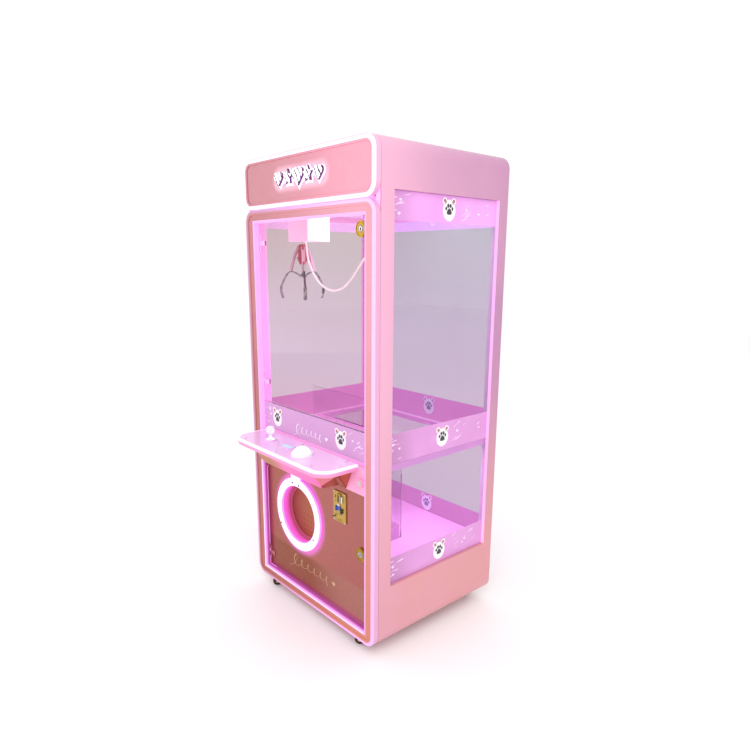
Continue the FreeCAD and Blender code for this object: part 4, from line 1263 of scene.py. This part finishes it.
def make_lock_faces(made):
    """A dished steel face with a keyhole on both door locks."""
    steel = lock_steel()
    for name, (x, z), body in (("glass_lock_face", (318, 1556), "glass_door"),
                               ("service_lock_face", (315, 350), "service_door")):
        bm = bmesh.new()
        profile = ((0.0125, 0.0), (0.0130, 0.0008), (0.0122, 0.0018), (0.0100, 0.0020),
                   (0.0086, 0.0012), (0.0082, 0.0008))
        add_lathe(bm, at(x, LOCK_FACE, z), (0, -1, 0), profile, 36)
        finish_mesh(name, bm, steel, body, True)
        # A black plate stands for the keyhole: painted shade in the opening.
        hole = bmesh.new()
        face = front_wall(y_at(KEYHOLE_FACE))
        add_plate(hole, face, rounded_box(x * MM - 0.0035, x * MM + 0.0035,
                                          z_at(z - 6), z_at(z + 5), 0.003),
                  0.0, 0.0012)
        finish_mesh(name + "_keyhole", hole, made["black_plastic"], body)


def make_clip(made):
    """The white clip that holds the lead on the front right post."""
    bm = bmesh.new()
    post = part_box("cabinet_posts")[1].x - 36 * MM
    wall = Wall((post, 0, 0), (0, -1, 0), (0, 0, 1))
    y = y_at(73)
    z = z_at(1507)
    add_plate(bm, wall, rounded_box(-y - 0.009, -y + 0.009, z - 0.006, z + 0.026, 0.003),
              0.0002, 0.010)
    bmesh.ops.bevel(bm, geom=list(bm.edges), offset=0.0008, segments=2, affect="EDGES")
    finish_mesh("lead_clip", bm, made["white_plastic"], "cabinet", True)


def make_display():
    """A pale blue screen with a darker rim, over the display's frame."""
    wall = Wall((0, 0, z_at(DISPLAY_TOP)), (1, 0, 0), (0, 1, 0))
    layers = (("display_rim", (-61, -90, 6, -58), 0.0, 0.0004, (0.16, 0.30, 0.70), 0.25),
              ("display_screen", (-57, -89, 5, -61), 0.0004, 0.0008, (0.52, 0.72, 0.95), 0.35))
    for name, (x0, y0, x1, y1), w0, w1, colour, glow in layers:
        finish = Finish(name, colour, 0.15, Coat_Weight=0.6, Emission_Color=(*colour, 1),
                        Emission_Strength=glow)
        cells = finish.remap(finish.noise(120.0, 1.0), 0.35, 0.65)
        finish.paint(finish.mix(cells, colour, shade(colour, 0.85)))
        bm = bmesh.new()
        add_plate(bm, wall, rounded_box(x0 * MM, x1 * MM, y_at(y0), y_at(y1), 0.0025), w0, w1)
        finish_mesh(name, bm, finish.material, "cabinet")


def make_coin_trim(made):
    """The coin plate's slot lips, marks, token blocks, lever and screws."""
    wall = front_wall(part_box("coin_plate")[0].y)
    plate_y = y_at(COIN_FACE)
    plate = front_wall(plate_y)
    dark, steel, blue = made["black_plastic"], made["plug_steel"], made["blue_button"]

    def block(x0, x1, z0, z1, corner=0.003):
        return rounded_box(x0 * MM, x1 * MM, z_at(z0), z_at(z1), corner)

    # coin_slot_mouth is a black plate for the slot's mouth, painted shade in the opening.
    pieces = (("coin_slot_mouth", wall, block(180, 188, 526, 556), -0.0005, 0.0006, dark),
              ("coin_slot_guide", plate, block(199, 208, 524, 552), 0.0001, 0.005, steel),
              ("coin_mark_upper", plate, stroke(0.160, z_at(545), 0.022, 0.003, 1.1), 0.0001,
               0.001, dark),
              ("coin_mark_lower", plate, stroke(0.163, z_at(529), 0.018, 0.0025, 0.8), 0.0001,
               0.001, dark),
              ("coin_block_blue", plate, block(164, 173.5, 486, 508), 0.0001, 0.007, blue),
              ("coin_block_dark", plate, block(194.5, 205, 480, 500), 0.0001, 0.006, dark),
              ("coin_block_steel", plate, block(175, 192, 510, 518, 0.002), 0.0001, 0.005,
               steel),
              ("coin_lever", plate, stroke(0.1525, z_at(458), 0.016, 0.005, 0.55), 0.0001,
               0.006, dark))
    for name, face, outline, w0, w1, material in pieces:
        bm = bmesh.new()
        add_plate(bm, face, outline, w0, w1)
        finish_mesh(name, bm, material, "service_door")
    corners = [Vector((x * MM, plate_y, z_at(h))) for x in (150, 219) for h in (446, 562)]
    screw_heads("coin_plate_screws", corners, (0, -1, 0), 0.0032, steel, "service_door")


# ---- floor and lights ----
def make_floor():
    bm = bmesh.new()
    reach = 14.0
    corners = [bm.verts.new((x, y, 0)) for x, y in
               ((-reach, -reach), (reach, -reach), (reach, reach), (-reach, reach))]
    bm.faces.new(corners)
    finish = Finish("floor_pale", (0.97, 0.97, 0.97), 0.60)
    finish.vary_roughness(3.0, 0.55, 0.65)
    mesh_object("floor", bm, finish.material)


def area_light(name, place, target, size, power, colour):
    data = bpy.data.lights.new(name, "AREA")
    data.shape = "RECTANGLE"
    data.size, data.size_y = size
    data.energy = power
    data.color = colour
    lamp = bpy.data.objects.new(name, data)
    lamp.visible_camera = False
    scene.collection.objects.link(lamp)
    aim = (Vector(target) - Vector(place)).normalized()
    lamp.matrix_world = (Matrix.Translation(place)
                         @ aim.to_track_quat("-Z", "Y").to_matrix().to_4x4())
    return lamp


def make_light():
    world = bpy.data.worlds.new("studio")
    world.use_nodes = True
    sky = world.node_tree.nodes["Background"]
    sky.inputs["Color"].default_value = (1.0, 1.0, 1.0, 1)
    sky.inputs["Strength"].default_value = 1.03
    scene.world = world
    middle = (0, 0, 1.0)
    area_light("key", (2.6, -2.2, 3.4), middle, (2.4, 2.4), 55, (1.0, 0.97, 0.98))
    area_light("fill", (-3.2, -2.6, 1.8), middle, (2.0, 2.6), 18, (1.0, 0.93, 0.90))
    upper = area_light("upper_glow", at(60, 400, 1640), at(60, 400, 700), (0.5, 0.3), 3.0,
                       (1.0, 0.60, 1.0))
    lower = area_light("lower_glow", at(200, 420, 675), at(200, 420, 300), (0.3, 0.4), 2.6,
                       (1.0, 0.60, 1.0))
    for lamp in (upper, lower):
        lamp.visible_transmission = False


# ---- the whole scene ----
make_camera()
made = paint_nodes()
make_cable(nodes["hoist_cable"].data.materials[0])
make_lead(lead_white())
for node, material in (("console_box", console_metal()), ("console_top", shelf_face()),
                       ("console_edge_light", shelf_light()), ("prize_ring_light", ring_light()),
                       ("carriage", carriage_finish()), ("grab_button", button_dome()),
                       ("joystick_base", joystick_rim()), ("coin_plate", coin_gold()),
                       ("glass_door", door_glass())):
    repaint(node, material)
repaint("coin_return_flap", nodes["coin_plate"].data.materials[0])
deck = washed_pink("chamber_pink", (0.92, 0.55, 0.88), (1.0, 0.45, 1.0), 0.30)
for node in ("chamber_floor", "playfield_deck"):
    repaint(node, deck)
repaint("cabinet_posts", post_pink())
repaint("frame_hinges_and_keepers", hinge_paint())
rails = washed_pink("rail_pink", (0.92, 0.58, 0.88), (1.0, 0.44, 0.98), 0.55)
for node in ("gantry_rails", "bridge"):
    repaint(node, rails)
inks = make_films()
make_flourishes(inks)
make_halo()
make_screws(made)
make_lock_faces(made)
make_clip(made)
make_display()
make_coin_trim(made)
make_floor()
make_light()
scene.view_settings.view_transform = "Standard"
